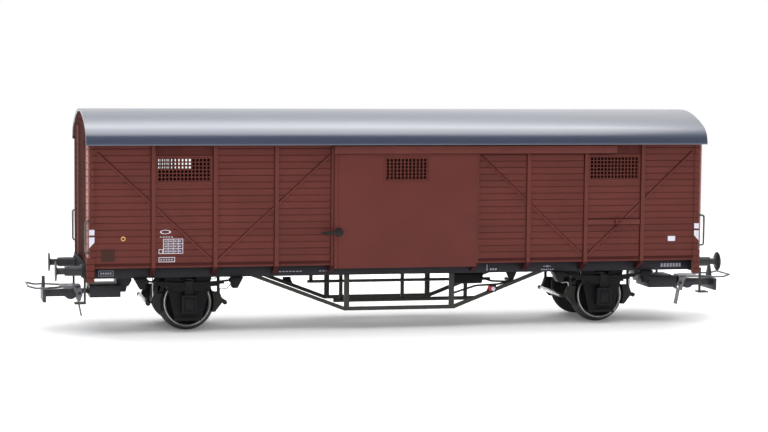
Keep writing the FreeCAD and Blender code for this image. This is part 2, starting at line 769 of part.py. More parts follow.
def coupler_head():
    """Tail, pocket, shank and bumper plate, drawn at the right end."""
    eye = rod((swing_x, 0, tail_low), (swing_x, 0, tail_high), swing_pin_radius + 1.0)
    half = pocket_wid / 2
    tail = box(swing_x, pocket_x0 + 0.5, -tail_wid / 2, tail_wid / 2, tail_low, pocket_high)
    pocket = box(pocket_x0, pocket_x1, -half, half, pocket_low, pocket_high)
    belly_x, belly_z = pocket_x1 - belly_radius, pocket_low + 0.9
    belly = rod((belly_x, -half, belly_z), (belly_x, half, belly_z), belly_radius)
    belly = belly.common(box(pocket_x0, pocket_x1, -half, half, 0, pocket_high))
    shank = box(pocket_x1, head_x0, -shank_wid / 2, shank_wid / 2, shank_low, shank_high)
    plate = box(head_x0, head_x0 + head_thk, -head_wid / 2, head_wid / 2, head_low, head_high)
    base, tip = spike_wid / 2, spike_wid / 8
    spike = prism_yz([(-base, head_high), (base, head_high), (tip, spike_high),
                      (-tip, spike_high)], head_x0, head_x0 + head_thk)
    reach = half + ear_gap + ear_thk
    pin = rod((lift_x, -reach, lift_z), (lift_x, reach, lift_z), lift_pin_radius)
    bore = rod((swing_x, 0, tail_low - 1), (swing_x, 0, tail_high + 1), swing_pin_radius + 0.05)
    return fused(eye, tail, pocket, belly, shank, plate, spike, pin).cut(bore)


def hoop():
    """Lifting hoop with its plate, ears and trip strip, drawn at the right end."""
    r, half = hoop_wire, hoop_wid / 2
    plate_half = hoop_plate_wid / 2
    plate_x0, plate_x1 = lift_x - 0.3, pocket_x1 + 0.9
    z0, z1 = hoop_z - hoop_plate_thk / 2, hoop_z + hoop_plate_thk / 2
    path = [(plate_x1 - 0.3, plate_half - r, hoop_z), (head_x0 - 0.4, half - r, hoop_z),
            (hoop_tip - 1.9, half - r, hoop_z), (hoop_tip - r, half - 0.6, hoop_z + 0.45)]
    pieces = []
    for sign in (-1, 1):
        side = [(x, sign * y, z) for x, y, z in path]
        pieces += [rod(a, b, r) for a, b in zip(side, side[1:])]
        pieces += [Part.makeSphere(r, Vector(*p)) for p in side[1:]]
    tip_x, tip_y, tip_z = path[-1]
    pieces.append(rod((tip_x, -tip_y, tip_z), (tip_x, tip_y, tip_z), r))
    pieces.append(prism_xy([(plate_x0, -1.9), (plate_x0 + 1.2, -plate_half),
                            (plate_x1, -plate_half), (plate_x1, plate_half),
                            (plate_x0 + 1.2, plate_half), (plate_x0, 1.9)], z0, z1))

    ear_y0 = pocket_wid / 2 + ear_gap
    ear_y1 = ear_y0 + ear_thk
    low = pocket_low - 1.1
    for sign in (-1, 1):
        pieces.append(prism_xz([(plate_x0, z0), (lift_x - 0.75, lift_z), (lift_x - 0.2, low),
                                (lift_x + 0.45, low), (lift_x + 0.8, lift_z),
                                (lift_x + 1.6, z0), (lift_x + 1.6, z1), (plate_x0, z1)],
                               sign * ear_y0, sign * ear_y1))
    pieces.append(box(lift_x - 0.2, lift_x + 0.45, -ear_y1, ear_y1, low, low + 0.35))
    top_x, tip_x = lift_x + 0.2, lift_x - 0.5
    pieces.append(prism_xz([(top_x - trip_thk / 2, low + 0.2), (top_x + trip_thk / 2, low + 0.2),
                            (tip_x + trip_thk / 2, trip_low), (tip_x - trip_thk / 2, trip_low)],
                           -trip_wid / 2, trip_wid / 2))
    bore = rod((lift_x, -ear_y1 - 1, lift_z), (lift_x, ear_y1 + 1, lift_z),
               lift_pin_radius + 0.05)
    return fused(*pieces).cut(bore)


def build_couplers():
    housing = coupler_box()
    save("coupler_boxes", housing, far(housing))
    head, loop = coupler_head(), hoop()
    for side, place in (("right", lambda s: s), ("left", far)):
        save("coupler_%s" % side, place(head))
        save("coupler_hoop_%s" % side, place(loop))


def build_end_fittings():
    r = handrail_radius
    foot_xy = (end_face - corner_round, -side_face)
    bar_xy = (end_face + handrail_lean, -side_face - handrail_reach + r)
    ends = [rod(foot_xy + (z,), bar_xy + (z,), r) for z in (handrail_low + r, handrail_high - r)]
    rail = fused(rod(bar_xy + (handrail_low,), bar_xy + (handrail_high,), r), *ends)
    rail = rail.cut(box(half_len - 3, half_len + 3, -side_face, 0, 0, eave_z))
    save("handrails", *four(rail))

    top = wall_bottom - corner_foot_drop + step_grip
    y0 = -side_face + corner_round
    bar = box(end_face, end_face + step_bar, y0, y0 + step_bar, step_low, top)
    plate = box(end_face, end_face + step_len, y0, y0 + step_wid, step_low,
                step_low + step_thk)
    save("end_steps", *four(fused(bar, plate)))


os.makedirs("parts", exist_ok=True)
build_shell()
build_sides()
build_framing()
build_corners()
build_doors()
build_underframe()
build_truss()
build_running_gear()
build_wheelsets()
build_brakes()
build_buffers()
build_couplers()
build_end_fittings()
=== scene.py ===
# %% [markdown]
# # A two-axle goods van at 1:87
# This lesson dresses the imported model of a small covered van: planked brown walls, a satin
# grey roof, sliding doors, a black underframe, two wheelsets and hoop couplers. The frame
# is fixed: most pieces are placed from the boxes of its solids, and none of them is moved.

# %% Load the imported frame
import json
import math

import bmesh
import bpy
from mathutils import Matrix, Vector

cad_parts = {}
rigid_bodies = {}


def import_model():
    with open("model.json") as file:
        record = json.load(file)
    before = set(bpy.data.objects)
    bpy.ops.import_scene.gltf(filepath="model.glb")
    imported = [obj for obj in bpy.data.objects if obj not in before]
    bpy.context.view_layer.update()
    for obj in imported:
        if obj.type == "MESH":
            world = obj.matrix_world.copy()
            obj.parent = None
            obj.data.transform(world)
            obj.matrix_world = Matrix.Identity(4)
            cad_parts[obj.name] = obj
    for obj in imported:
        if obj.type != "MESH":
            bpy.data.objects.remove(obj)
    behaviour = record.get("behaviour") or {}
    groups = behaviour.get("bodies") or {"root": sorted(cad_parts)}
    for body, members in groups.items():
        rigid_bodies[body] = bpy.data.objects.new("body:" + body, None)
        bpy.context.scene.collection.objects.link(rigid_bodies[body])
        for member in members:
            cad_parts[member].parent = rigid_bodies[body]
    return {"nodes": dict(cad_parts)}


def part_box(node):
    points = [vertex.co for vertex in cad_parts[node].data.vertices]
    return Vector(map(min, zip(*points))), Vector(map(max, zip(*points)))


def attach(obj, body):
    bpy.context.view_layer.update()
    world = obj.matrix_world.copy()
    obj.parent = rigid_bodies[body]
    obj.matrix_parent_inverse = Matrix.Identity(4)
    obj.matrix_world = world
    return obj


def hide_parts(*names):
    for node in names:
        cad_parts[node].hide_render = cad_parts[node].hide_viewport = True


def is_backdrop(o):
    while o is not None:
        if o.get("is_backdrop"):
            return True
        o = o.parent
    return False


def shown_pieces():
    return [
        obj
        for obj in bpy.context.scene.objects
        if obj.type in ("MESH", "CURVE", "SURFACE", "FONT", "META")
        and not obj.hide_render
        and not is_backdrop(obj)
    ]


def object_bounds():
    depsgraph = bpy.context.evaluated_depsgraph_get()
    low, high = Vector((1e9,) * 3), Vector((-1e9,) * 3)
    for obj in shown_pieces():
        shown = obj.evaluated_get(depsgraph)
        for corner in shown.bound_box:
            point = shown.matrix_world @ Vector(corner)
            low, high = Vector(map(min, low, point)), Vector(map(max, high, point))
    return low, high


for leftover in list(bpy.data.objects):     # the default cube, lamp and camera
    bpy.data.objects.remove(leftover)
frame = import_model()
cad_bounds = [list(corner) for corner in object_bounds()]

# %% [markdown]
# The frame is in metres, but the van has parts a fifth of a millimetre thick. Each piece is
# therefore modelled at one unit to the millimetre, where bevel widths and merge distances
# are easy to read, and is shrunk into the frame when it is finished.

# %% Boxes of the solids, in millimetres
MM = 0.001


def span(node):
    """Lowest and highest corner of a CAD node, in millimetres."""
    low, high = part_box(node)
    return low / MM, high / MM


wall_low, wall_high = span("side_panels_near")
roof_low, roof_high = span("roof")
door_low, door_high = span("door_near")
sole_low = span("solebars")[0]
corner_low, corner_high = span("corner_posts")
face_y = wall_low.y
print("near wall face at y = %.2f mm, roof top at z = %.2f mm" % (face_y, roof_high.z))

# %% [markdown]
# ## Tools for modelling by hand
# An operator works on all that is selected. These helpers clear the selection, pick faces,
# edges or vertices by where they are, and then cut, push or inset what was picked.

# %% Selection helpers
def start_fresh():
    if bpy.context.object and bpy.context.object.mode != "OBJECT":
        bpy.ops.object.mode_set(mode="OBJECT")
    bpy.ops.object.select_all(action="DESELECT")


def only(piece):
    start_fresh()
    piece.select_set(True)
    bpy.context.view_layer.objects.active = piece


def anything(item):
    return True


def pick(piece, kind, test=anything):
    """Enters edit mode and selects the vertices, edges or faces that pass a test."""
    if piece.mode != "EDIT":
        only(piece)
        bpy.ops.object.mode_set(mode="EDIT")
    bpy.ops.mesh.select_mode(type={"verts": "VERT", "edges": "EDGE", "faces": "FACE"}[kind])
    bpy.ops.mesh.select_all(action="DESELECT")
    mesh = bmesh.from_edit_mesh(piece.data)
    found = [item for item in getattr(mesh, kind) if test(item)]
    for item in found:
        item.select_set(True)
    mesh.select_flush_mode()
    bmesh.update_edit_mesh(piece.data)
    return len(found)


def leave():
    bpy.ops.object.mode_set(mode="OBJECT")


def middle(face):
    return face.calc_center_median()


def facing(face):
    """Faces that look at the near side."""
    return face.normal.y < -0.9


# %% Editing helpers
def cut(piece, axis, places, test=anything):
    """Cuts the faces that pass a test with planes at places along an axis."""
    normal = Vector([float(letter == axis) for letter in "xyz"])
    for place in places:
        if pick(piece, "faces", test):
            bpy.ops.mesh.bisect(plane_co=normal * place, plane_no=normal)
    leave()


def shift(piece, test, push):
    """Moves the vertices that pass a test."""
    if pick(piece, "verts", test):
        bpy.ops.transform.translate(value=push)
    leave()


def swell(piece, test, centre, size):
    """Scales the vertices that pass a test about a centre."""
    pick(piece, "verts", test)
    bpy.ops.transform.resize(value=size, center_override=centre)
    leave()


def drag(push):
    """Extrudes what is selected."""
    bpy.ops.mesh.extrude_region_move(TRANSFORM_OT_translate={"value": push})


def sunk(piece, *steps, test=facing):
    """Insets the faces that pass a test and pushes them along Y, step by step."""
    pick(piece, "faces", test)
    for inset, push in steps:
        if inset:
            bpy.ops.mesh.inset(thickness=inset)
        if push:
            drag((0, push, 0))
    leave()


def face_out(piece):
    """Turns all normals outwards."""
    pick(piece, "faces")
    bpy.ops.mesh.normals_make_consistent(inside=False)
    leave()


def window_in(piece, low, high):
    """Cuts a rectangular window through a plate that faces -Y and joins its two sides."""
    cut(piece, "x", (low.x, high.x))
    cut(piece, "z", (low.z, high.z))
    pick(piece, "faces", lambda f: abs(f.normal.y) > 0.9 and low.x < middle(f).x < high.x
         and low.z < middle(f).z < high.z)
    bpy.ops.mesh.delete(type="FACE")
    pick(piece, "edges", lambda edge: edge.is_boundary)
    bpy.ops.mesh.bridge_edge_loops()
    leave()


# %% Starting shapes
def name_it(name):
    piece = bpy.context.object
    piece.name = name
    piece.data.name = name
    return piece


def settle():
    """Puts an object's place, turn and size into its mesh."""
    bpy.ops.object.transform_apply(location=True, rotation=True, scale=True)


def block(name, low, high):
    """A cube between two corners."""
    start_fresh()
    low, high = Vector(low), Vector(high)
    bpy.ops.mesh.primitive_cube_add(size=1, location=(low + high) / 2)
    bpy.context.object.scale = high - low
    settle()
    return name_it(name)


def round_bar(name, start, end, radius, sides=24):
    """A cylinder between two points."""
    start_fresh()
    start, end = Vector(start), Vector(end)
    along = end - start
    bpy.ops.mesh.primitive_cylinder_add(vertices=sides, radius=radius, depth=along.length,
                                        location=(start + end) / 2)
    piece = name_it(name)
    piece.rotation_mode = "QUATERNION"
    piece.rotation_quaternion = along.to_track_quat("Z", "Y")
    settle()
    return piece


def copied_solid(name, node, dissolve=True):
    """A copy of a CAD solid with loose triangles merged and flat ones dissolved."""
    piece = frame["nodes"][node].copy()
    piece.data = piece.data.copy()
    piece.parent = None
    piece.hide_render = piece.hide_viewport = False
    for key in list(piece.keys()):
        del piece[key]
    bpy.context.scene.collection.objects.link(piece)
    only(piece)
    name_it(name)
    piece.data.materials.clear()
    piece.scale = (1 / MM,) * 3
    settle()
    pick(piece, "verts")
    bpy.ops.mesh.remove_doubles(threshold=0.002)
    if dissolve:
        bpy.ops.mesh.dissolve_limited(angle_limit=math.radians(1))
    leave()
    return piece


# %% Repeats
def joined(name, pieces):
    start_fresh()
    for piece in pieces:
        piece.select_set(True)
    bpy.context.view_layer.objects.active = pieces[0]
    bpy.ops.object.join()
    return name_it(name)


def turned(piece, name="copy", mirror=False):
    """A copy turned half round about the upright axis, or mirrored to the other side."""
    only(piece)
    bpy.ops.object.duplicate()
    copy = name_it(name)
    copy.scale = (1, -1, 1) if mirror else (-1, -1, 1)
    settle()
    if mirror:
        face_out(copy)
    return copy


def at_four(piece, name):
    """The near right piece, repeated at all four corners of the van."""
    far_left = turned(piece)
    near_left = turned(far_left, mirror=True)
    far_right = turned(piece, mirror=True)
    return joined(name, [piece, far_left, near_left, far_right])


# %% [markdown]
# ## Finishing a piece
# No moulded edge is perfectly sharp, and a small round edge is what catches the light. Each
# piece gets a narrow Bevel modifier on its corners, smooth shading that stops at sharp
# angles, its material, and its place on a body of the frame. Then it is shrunk to metres.

# %% Finish helpers
def finish(piece, body, material, slot, nodes=(), edge=0.06, segments=2, angle=35,
           paints=()):
    """`paints` holds more materials, each with a test for the faces that take it."""
    only(piece)
    if edge:
        bpy.ops.object.modifier_add(type="BEVEL")
        bevel = piece.modifiers[-1]
        bevel.width = edge
        bevel.segments = segments
        bevel.limit_method = "ANGLE"
        bevel.angle_limit = math.radians(angle)
        bevel.use_clamp_overlap = True
        bpy.ops.object.modifier_apply(modifier=bevel.name)
    bpy.ops.object.shade_smooth_by_angle(angle=math.radians(angle))
    piece.scale = (MM, MM, MM)
    settle()
    piece.data.materials.clear()
    piece.data.materials.append(bpy.data.materials[material])
    for number, (paint, test) in enumerate(paints, start=1):
        piece.data.materials.append(bpy.data.materials[paint])
        for face in piece.data.polygons:
            if test(face.center / MM, face.normal):
                face.material_index = number
    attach(piece, body)
    if nodes:
        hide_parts(*nodes)
    print("  %-24s %6d faces on %s" % (piece.name, len(piece.data.polygons), body))


def finish_pair(near, body, material, slot, nodes=(), **how):
    """Finishes a near piece and its copy turned to the far side.

    A pair of braces in the name of a body or a node stands for near or far. The near
    piece alone replaces a node that has none."""
    far = turned(near, near.name.replace("near", "far"))
    for side, piece in (("near", near), ("far", far)):
        own = [node.format(side) for node in nodes if "{}" in node or side == "near"]
        finish(piece, body.format(side), material, slot, own, **how)


# %% [markdown]
# ## Camera, floor and light
# A long lens from well to the left and a little above shows the near side, a sliver of the
# left end and no underside. The floor is white to the camera only, so it can go as pale as
# paper while the light on the van stays at a plain level.

# %% Camera
scene = bpy.context.scene
scene.view_settings.view_transform = "Standard"
sensor_wide, focal_length = 36.0, 99.76
yaw, pitch, roll = (math.radians(angle) for angle in (13.138, 4.707, 0.529))
camera_at = Vector((-113.272, -480.558, 65.201)) * MM

lens = bpy.data.cameras.new("camera")
lens.sensor_width = sensor_wide
lens.lens = focal_length
lens.clip_start, lens.clip_end = 0.01, 50
camera = bpy.data.objects.new("camera", lens)
scene.collection.objects.link(camera)
# a camera starts out looking straight down: it is rolled, tipped up and turned to the side
camera.matrix_world = (
    Matrix.Translation(camera_at) @ Matrix.Rotation(-yaw, 4, "Z")
    @ Matrix.Rotation(math.pi / 2 - pitch, 4, "X") @ Matrix.Rotation(roll, 4, "Z"))
scene.camera = camera
print("camera: %.1f mm lens, %.0f mm from the van" % (lens.lens, camera_at.length / MM))

# %% Node helpers
def add_to(tree):
    """Gives a function that adds a node and returns its outputs.

    An input is a number, a colour or the output of another node."""
    def add(kind, inputs={}, **settings):
        item = tree.nodes.new("ShaderNode" + kind)
        for key, value in settings.items():
            setattr(item, key, value)
        for socket, value in inputs.items():
            if isinstance(value, bpy.types.NodeSocket):
                tree.links.new(value, item.inputs[socket])
            else:
                item.inputs[socket].default_value = value
        return item.outputs
    return add


def maths(add, operation, *values):
    return add("Math", dict(enumerate(values)), operation=operation)[0]


def ranged(add, value, low, high, from_low=0.3, from_high=0.7):
    """Maps a value to another range, smoothly."""
    return add("MapRange", {"Value": value, "From Min": from_low, "From Max": from_high,
                            "To Min": low, "To Max": high},
               interpolation_type="SMOOTHSTEP")[0]


def plain_rays(add):
    """Camera, glossy and transmission rays, which see the background as white."""
    path = add("LightPath")
    return maths(add, "MAXIMUM", path["Is Transmission Ray"], maths(
        add, "MAXIMUM", path["Is Camera Ray"], path["Is Glossy Ray"]))


# %% Floor and background
floor_half = 6.0
fade_from, fade_to = 0.14, 0.34     # metres from the van where the shadow gives way to white
glow_near = 0.08                    # share of plain white beside the van

start_fresh()
bpy.ops.mesh.primitive_plane_add(size=2 * floor_half, location=(0, 0, 0))
ground = name_it("table_top")
pick(ground, "faces")
bpy.ops.mesh.subdivide(number_cuts=3)
leave()
paper = bpy.data.materials.new("table_paper")
paper.use_nodes = True
paper.node_tree.nodes.clear()
add = add_to(paper.node_tree)
lit = add("BsdfDiffuse", {"Color": (0.9, 0.9, 0.9, 1)})
glow = add("Emission", {"Strength": 1.0})
squeeze = add("Mapping", {"Vector": add("TexCoord")["Object"], "Scale": (0.75, 1, 1)})
away = add("VectorMath", {0: squeeze[0]}, operation="LENGTH")["Value"]
fade = ranged(add, away, glow_near, 1, fade_from, fade_to)
share = maths(add, "MULTIPLY", plain_rays(add), fade)
blend = add("MixShader", {"Fac": share, 1: lit[0], 2: glow[0]})
add("OutputMaterial", {"Surface": blend[0]})
ground.data.materials.append(paper)
ground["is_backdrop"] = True
print("floor:", 2 * floor_half, "m square")

# %% World and lamps
world = bpy.data.worlds.new("studio")
scene.world = world
world.use_nodes = True
world.node_tree.nodes.clear()
add = add_to(world.node_tree)
room = add("Background", {"Color": (0.95, 0.97, 1.0, 1), "Strength": 0.4})
# the paper sweep is behind, above and beside the van; the room in front of it is dimmer
depth = add("SeparateXYZ", {0: add("TexCoord")["Generated"]})["Y"]
sweep = ranged(add, depth, 0.15, 1, -0.75, 0.15)
seen = maths(add, "MAXIMUM", sweep, add("LightPath")["Is Camera Ray"])
white = add("Background", {"Color": (1, 1, 1, 1), "Strength": seen})
blend = add("MixShader", {"Fac": plain_rays(add), 1: room[0], 2: white[0]})
add("OutputWorld", {"Surface": blend[0]})

# columns: name, place, target, size, watts, seen in reflections
for name, place, target, size, watts, in_gloss in (
        ("softbox_above", (0.05, 0.045, 0.55), (0.05, 0.044, 0), (0.75, 0.75), 5.2, True),
        ("softbox_back", (0.05, 0.62, 0.44), (0, 0, 0), (0.90, 0.35), 3.6, False),
        ("softbox_front", (-0.10, -0.80, 0.34), (0, 0, 0.02), (0.60, 0.40), 2.3, False),
        ("strip_left", (-0.52, -0.16, 0.14), (-0.07, 0, 0.03), (0.10, 0.34), 0.3, True)):
    lamp = bpy.data.lights.new(name, "AREA")
    lamp.shape = "RECTANGLE"
    lamp.size, lamp.size_y = size
    lamp.energy = watts
    holder = bpy.data.objects.new(name, lamp)
    scene.collection.objects.link(holder)
    holder.visible_glossy = in_gloss
    holder.location = place
    holder.rotation_euler = (Vector(target) - Vector(place)).to_track_quat("-Z", "Y").to_euler()

# %% [markdown]
# ## Finishes
# The body is injection-moulded plastic with a thin matt spray of brown. Up close such a skin
# is not one flat colour: it mottles slightly, the spray is finer than a grain of salt, and the
# plank grooves are painted darker, partly as paint gathered there and partly as painted shade.
# Each of those effects is a small node group that hands out colours and values, and each
# material wires them to its own Principled shader.

# %% Node group helpers
surface = {"Colour": "Color", "Roughness": "Float", "Normal": "Vector"}
mid_grey = (0.5, 0.5, 0.5, 1)


def new_group(name, inputs, outputs, fill):
    """A node group. `fill` gets its inputs as sockets and gives back its outputs."""
    group = bpy.data.node_groups.new(name, "ShaderNodeTree")
    for label, value in {"Colour": mid_grey, **inputs}.items():
        kind = "Color" if label == "Colour" else "Float"
        group.interface.new_socket(name=label, in_out="INPUT",
                                   socket_type="NodeSocket" + kind).default_value = value
    for label, kind in outputs.items():
        group.interface.new_socket(name=label, in_out="OUTPUT",
                                   socket_type="NodeSocket" + kind)
    start = group.nodes.new("NodeGroupInput")
    end = group.nodes.new("NodeGroupOutput")
    for label, socket in fill(add_to(group), start.outputs).items():
        group.links.new(socket, end.inputs[label])
    print("group:", name)
    return group


def millimetres(add):
    """Object coordinates counted in millimetres."""
    return add("VectorMath", {0: add("TexCoord")["Object"], "Scale": 1 / MM},
               operation="SCALE")[0]


def noise(add, vector, size, stretch=(1, 1, 1), detail=3):
    """Noise whose lumps are about `size` millimetres, stretched along the axes."""
    place = add("Mapping", {"Vector": vector, "Scale": [1 / (size * s) for s in stretch]})
    return add("TexNoise", {"Vector": place[0], "Scale": 1, "Detail": detail},
               noise_dimensions="3D")["Fac"]


def shaded(add, colour, factor):
    """A colour made lighter or darker by a factor."""
    return add("VectorMath", {0: colour, "Scale": factor}, operation="SCALE")[0]


def bumped(add, height, deep, strength):
    """A normal from a height, with its depth in millimetres."""
    return add("Bump", {"Height": height, "Distance": deep * MM, "Strength": strength})[0]


# %% Groups: moulded skin and plank lines
def fill_skin(add, given):
    """Broad mottle in the colour, uneven gloss and a fine sprayed grain."""
    place = millimetres(add)
    broad = ranged(add, noise(add, place, 9, detail=4), -1, 1)
    fine = ranged(add, noise(add, place, 0.6), -1, 1)
    mixed = maths(add, "MULTIPLY_ADD", fine, 0.4, broad)
    tone = maths(add, "MULTIPLY_ADD", mixed, given["Mottle"], 1)
    grain = noise(add, place, 0.16, detail=2)
    return {"Colour": shaded(add, given["Colour"], tone),
            "Roughness": maths(add, "MULTIPLY_ADD", fine, 0.05, given["Gloss"]),
            "Normal": bumped(add, grain, 0.02, 0.25)}


def fill_planks(add, given):
    """Darkens the plank grooves (painted shade and gathered paint), varies the tone plank by
    plank, adds faint streaks.
    """
    place = millimetres(add)
    up = add("SeparateXYZ", {0: place})["Z"]
    count = maths(add, "DIVIDE", maths(add, "SUBTRACT", up, given["First"]), given["Pitch"])
    part = maths(add, "FRACT", count)
    near = maths(add, "MINIMUM", part, maths(add, "SUBTRACT", 1, part))
    away = maths(add, "MULTIPLY", near, given["Pitch"])
    dark = maths(add, "MULTIPLY", ranged(add, away, 1, 0, 0.05, 0.17), given["Depth"])
    plank = add("TexWhiteNoise", {"W": maths(add, "FLOOR", count)}, noise_dimensions="1D")
    tone = ranged(add, plank["Value"], 0.965, 1.035, 0, 1)
    streak = ranged(add, noise(add, place, 1, (18, 18, 0.35)), 0.965, 1.035)
    light = maths(add, "MULTIPLY", maths(add, "MULTIPLY", tone, streak),
                  maths(add, "SUBTRACT", 1, dark))
    return {"Colour": shaded(add, given["Colour"], light)}


moulded_skin = new_group("moulded_skin", {"Mottle": 0.06, "Gloss": 0.5}, surface, fill_skin)
plank_lines = new_group("plank_lines", {"First": 0.0, "Pitch": 1.5, "Depth": 0.5},
                        {"Colour": "Color"}, fill_planks)

# %% Groups: drawn metal and satin sheet
def fill_metal(add, given):
    """Long fine scratches and a little tarnish for wire, axles and strips."""
    place = millimetres(add)
    patches = ranged(add, noise(add, place, 2.2, detail=4), 0, 1, 0.42, 0.68)
    dull = maths(add, "MULTIPLY", patches, given["Tarnish"])
    scratch = noise(add, place, 0.12, (12, 1, 1), detail=2)
    return {"Colour": shaded(add, given["Colour"], maths(add, "SUBTRACT", 1, dull)),
            "Roughness": maths(add, "MULTIPLY_ADD", dull, 0.5, given["Gloss"]),
            "Normal": bumped(add, scratch, 0.01, 0.3)}


def fill_satin(add, given):
    """A smooth sprayed sheet: slow drifts of tone and gloss, and nothing fine."""
    place = millimetres(add)
    drift = noise(add, place, 16, (2.5, 1, 1), detail=5)
    haze = ranged(add, noise(add, place, 7, (4, 1, 1)), -0.03, 0.03)
    return {"Colour": shaded(add, given["Colour"], ranged(add, drift, 0.96, 1.04)),
            "Roughness": maths(add, "ADD", haze, given["Gloss"]),
            "Normal": bumped(add, drift, 0.02, 0.15)}


drawn_metal = new_group("drawn_metal", {"Tarnish": 0.3, "Gloss": 0.3}, surface, fill_metal)
satin_sheet = new_group("satin_sheet", {"Gloss": 0.3}, surface, fill_satin)

# %% [markdown]
# A material says what the finish is; the groups say how it varies. Numbers that are the same
# all over, such as the metalness of the steel, are set straight on the shader's sockets.

# %% Material helpers
plank_pitch = 1.487
first_groove = wall_low.z + 1.0


def colour_of(red, green, blue):
    """A screen colour (0 to 255) as the linear colour that a shader takes."""
    def linear(value):
        value /= 255
        return value / 12.92 if value <= 0.04045 else ((value + 0.055) / 1.055) ** 2.4
    return linear(red), linear(green), linear(blue), 1


def new_material(name, colour, group, given, planks=0.0, **shader_values):
    """A material whose colour, roughness and normal come from a group.

    Above zero, `planks` is how dark the plank lines are in its colour."""
    colour = colour_of(*colour)
    material = bpy.data.materials.new(name)
    material.use_nodes = True
    material.diffuse_color = colour
    tree = material.node_tree
    add = add_to(tree)
    if planks:
        colour = add("Group", {"Colour": colour, "First": first_groove, "Pitch": plank_pitch,
                               "Depth": planks}, node_tree=plank_lines)["Colour"]
    skin = add("Group", {"Colour": colour, **given}, node_tree=group)
    shader = tree.nodes["Principled BSDF"].inputs
    for label, value in shader_values.items():
        shader[label.replace("_", " ")].default_value = value
    for label, socket in (("Colour", "Base Color"), ("Roughness", "Roughness"),
                          ("Normal", "Normal")):
        tree.links.new(skin[label], shader[socket])


# %% Sprayed plastics
# columns: screen colour, roughness, shine, plank lines, mottle
plastics = {
    "brown_planks": ((94, 47, 42), 0.5, 0.15, 0.3, 0.06),
    # the next brown is painted darker, as the shade that the eave casts on the plate above each
    # vent
    "brown_plate": ((80, 39, 35), 0.5, 0.1, 0, 0.1),
    # the next brown is the van's brown painted darker as shade, for the ends, the soffits and
    # the inside
    "brown_end": ((74, 37, 32), 0.6, 0.004, 0.3, 0.06),
    "brown_corner": ((94, 46, 41), 0.5, 0.15, 0.6, 0.06),
    # the next two are the brown painted lighter, as highlights where edges catch the light
    "painted_highlight_pale": ((172, 128, 122), 0.4, 0.2, 0.4, 0.06),
    "edge_soft": ((120, 78, 72), 0.5, 0.1, 0, 0.06),
    # a pale brown painted as the highlight on the flanks of the end's middle panel
    "edge_worn": ((142, 100, 98), 0.6, 0.01, 0, 0.06),
    "brown_foot": ((62, 28, 29), 0.55, 0.1, 0, 0.06),
    # a darker brown painted as the shade of a recess
    "brown_recess": ((66, 32, 29), 0.55, 0.05, 0, 0.06),
    # a dark brown painted as shade along shaded edges and slopes
    "brown_shade": ((58, 24, 20), 0.55, 0.1, 0, 0.06),
    "brown_plain": ((96, 47, 42), 0.48, 0.2, 0, 0.06),
    "brown_door": ((94, 46, 41), 0.46, 0.15, 0, 0.04),
    "brown_grille": ((88, 43, 37), 0.45, 0.15, 0, 0.06),
    # a very dark brown painted as the shade inside holes
    "hole_shade_dark": ((34, 14, 13), 0.6, 0.02, 0, 0.06),
    "frame_black": ((24, 24, 26), 0.42, 0.15, 0, 0.06),
    "truss_grey": ((61, 60, 56), 0.45, 0.2, 0, 0.06),
    "shoe_grey": ((42, 41, 39), 0.5, 0.15, 0, 0.06),
    "end_beam_grey": ((40, 39, 42), 0.5, 0.02, 0, 0.06),
    "sill_grey": ((46, 45, 49), 0.45, 0.12, 0, 0.06),
    "latch_grey": ((36, 33, 33), 0.45, 0.2, 0, 0.06),
    "buffer_grey": ((56, 56, 58), 0.36, 0.2, 0, 0.06),
    "coupler_grey": ((58, 58, 62), 0.4, 0.2, 0, 0.06),
    "box_grey": ((50, 50, 54), 0.4, 0.2, 0, 0.06),
    "wheel_dark": ((22, 23, 25), 0.34, 0.4, 0, 0.06),
    "print_white": ((212, 210, 222), 0.5, 0.35, 0, 0.02),
    "print_grey": ((150, 152, 164), 0.5, 0.35, 0, 0.05),
    "print_yellow": ((212, 172, 90), 0.5, 0.35, 0, 0.03),
    "lever_red": ((176, 30, 44), 0.35, 0.35, 0, 0.04),
    "plate_dark": ((62, 40, 36), 0.5, 0.1, 0, 0.06),
}
for name, (colour, gloss, shine, planks, mottle) in plastics.items():
    coat = {"Coat_Weight": 0.5, "Coat_Roughness": 0.2} if name == "wheel_dark" else {}
    new_material(name, colour, moulded_skin, {"Gloss": gloss, "Mottle": mottle}, planks,
                 Specular_IOR_Level=shine, **coat)
print(len(plastics), "plastics")

# %% Metals and the roof
# columns: name, screen colour, roughness, tarnish, metalness
for name, colour, gloss, tarnish, metallic in (
        ("rim_steel", (176, 174, 172), 0.3, 0.35, 1),
        ("axle_steel", (150, 148, 145), 0.3, 0.3, 1),
        ("beam_steel", (214, 214, 216), 0.25, 0.3, 1),
        ("weight_steel", (80, 78, 76), 0.5, 0.6, 1),
        ("hoop_grey", (112, 112, 118), 0.3, 0.3, 0.8),
        ("wire_grey", (104, 102, 98), 0.35, 0.3, 0.8)):
    new_material(name, colour, drawn_metal, {"Gloss": gloss, "Tarnish": tarnish},
                 Metallic=metallic)
new_material("roof_paint", (47, 56, 77), satin_sheet, {"Gloss": 0.32}, Coat_Weight=0.9,
             Coat_Roughness=0.25, Specular_IOR_Level=0.9)
print(len(bpy.data.materials), "materials")

# %% [markdown]
# ## Planked side walls
# On the real van the side is shiplap boarding in a steel frame. A model wall is one moulding
# with V-shaped lines. Here the wall starts as a box with its window cut out: planes are cut
# through the mesh above and below each line, and the middle row of vertices is pushed in.

# %% Plank lines
groove_half, groove_deep = 0.12, 0.1
last_groove = wall_high.z - 0.8


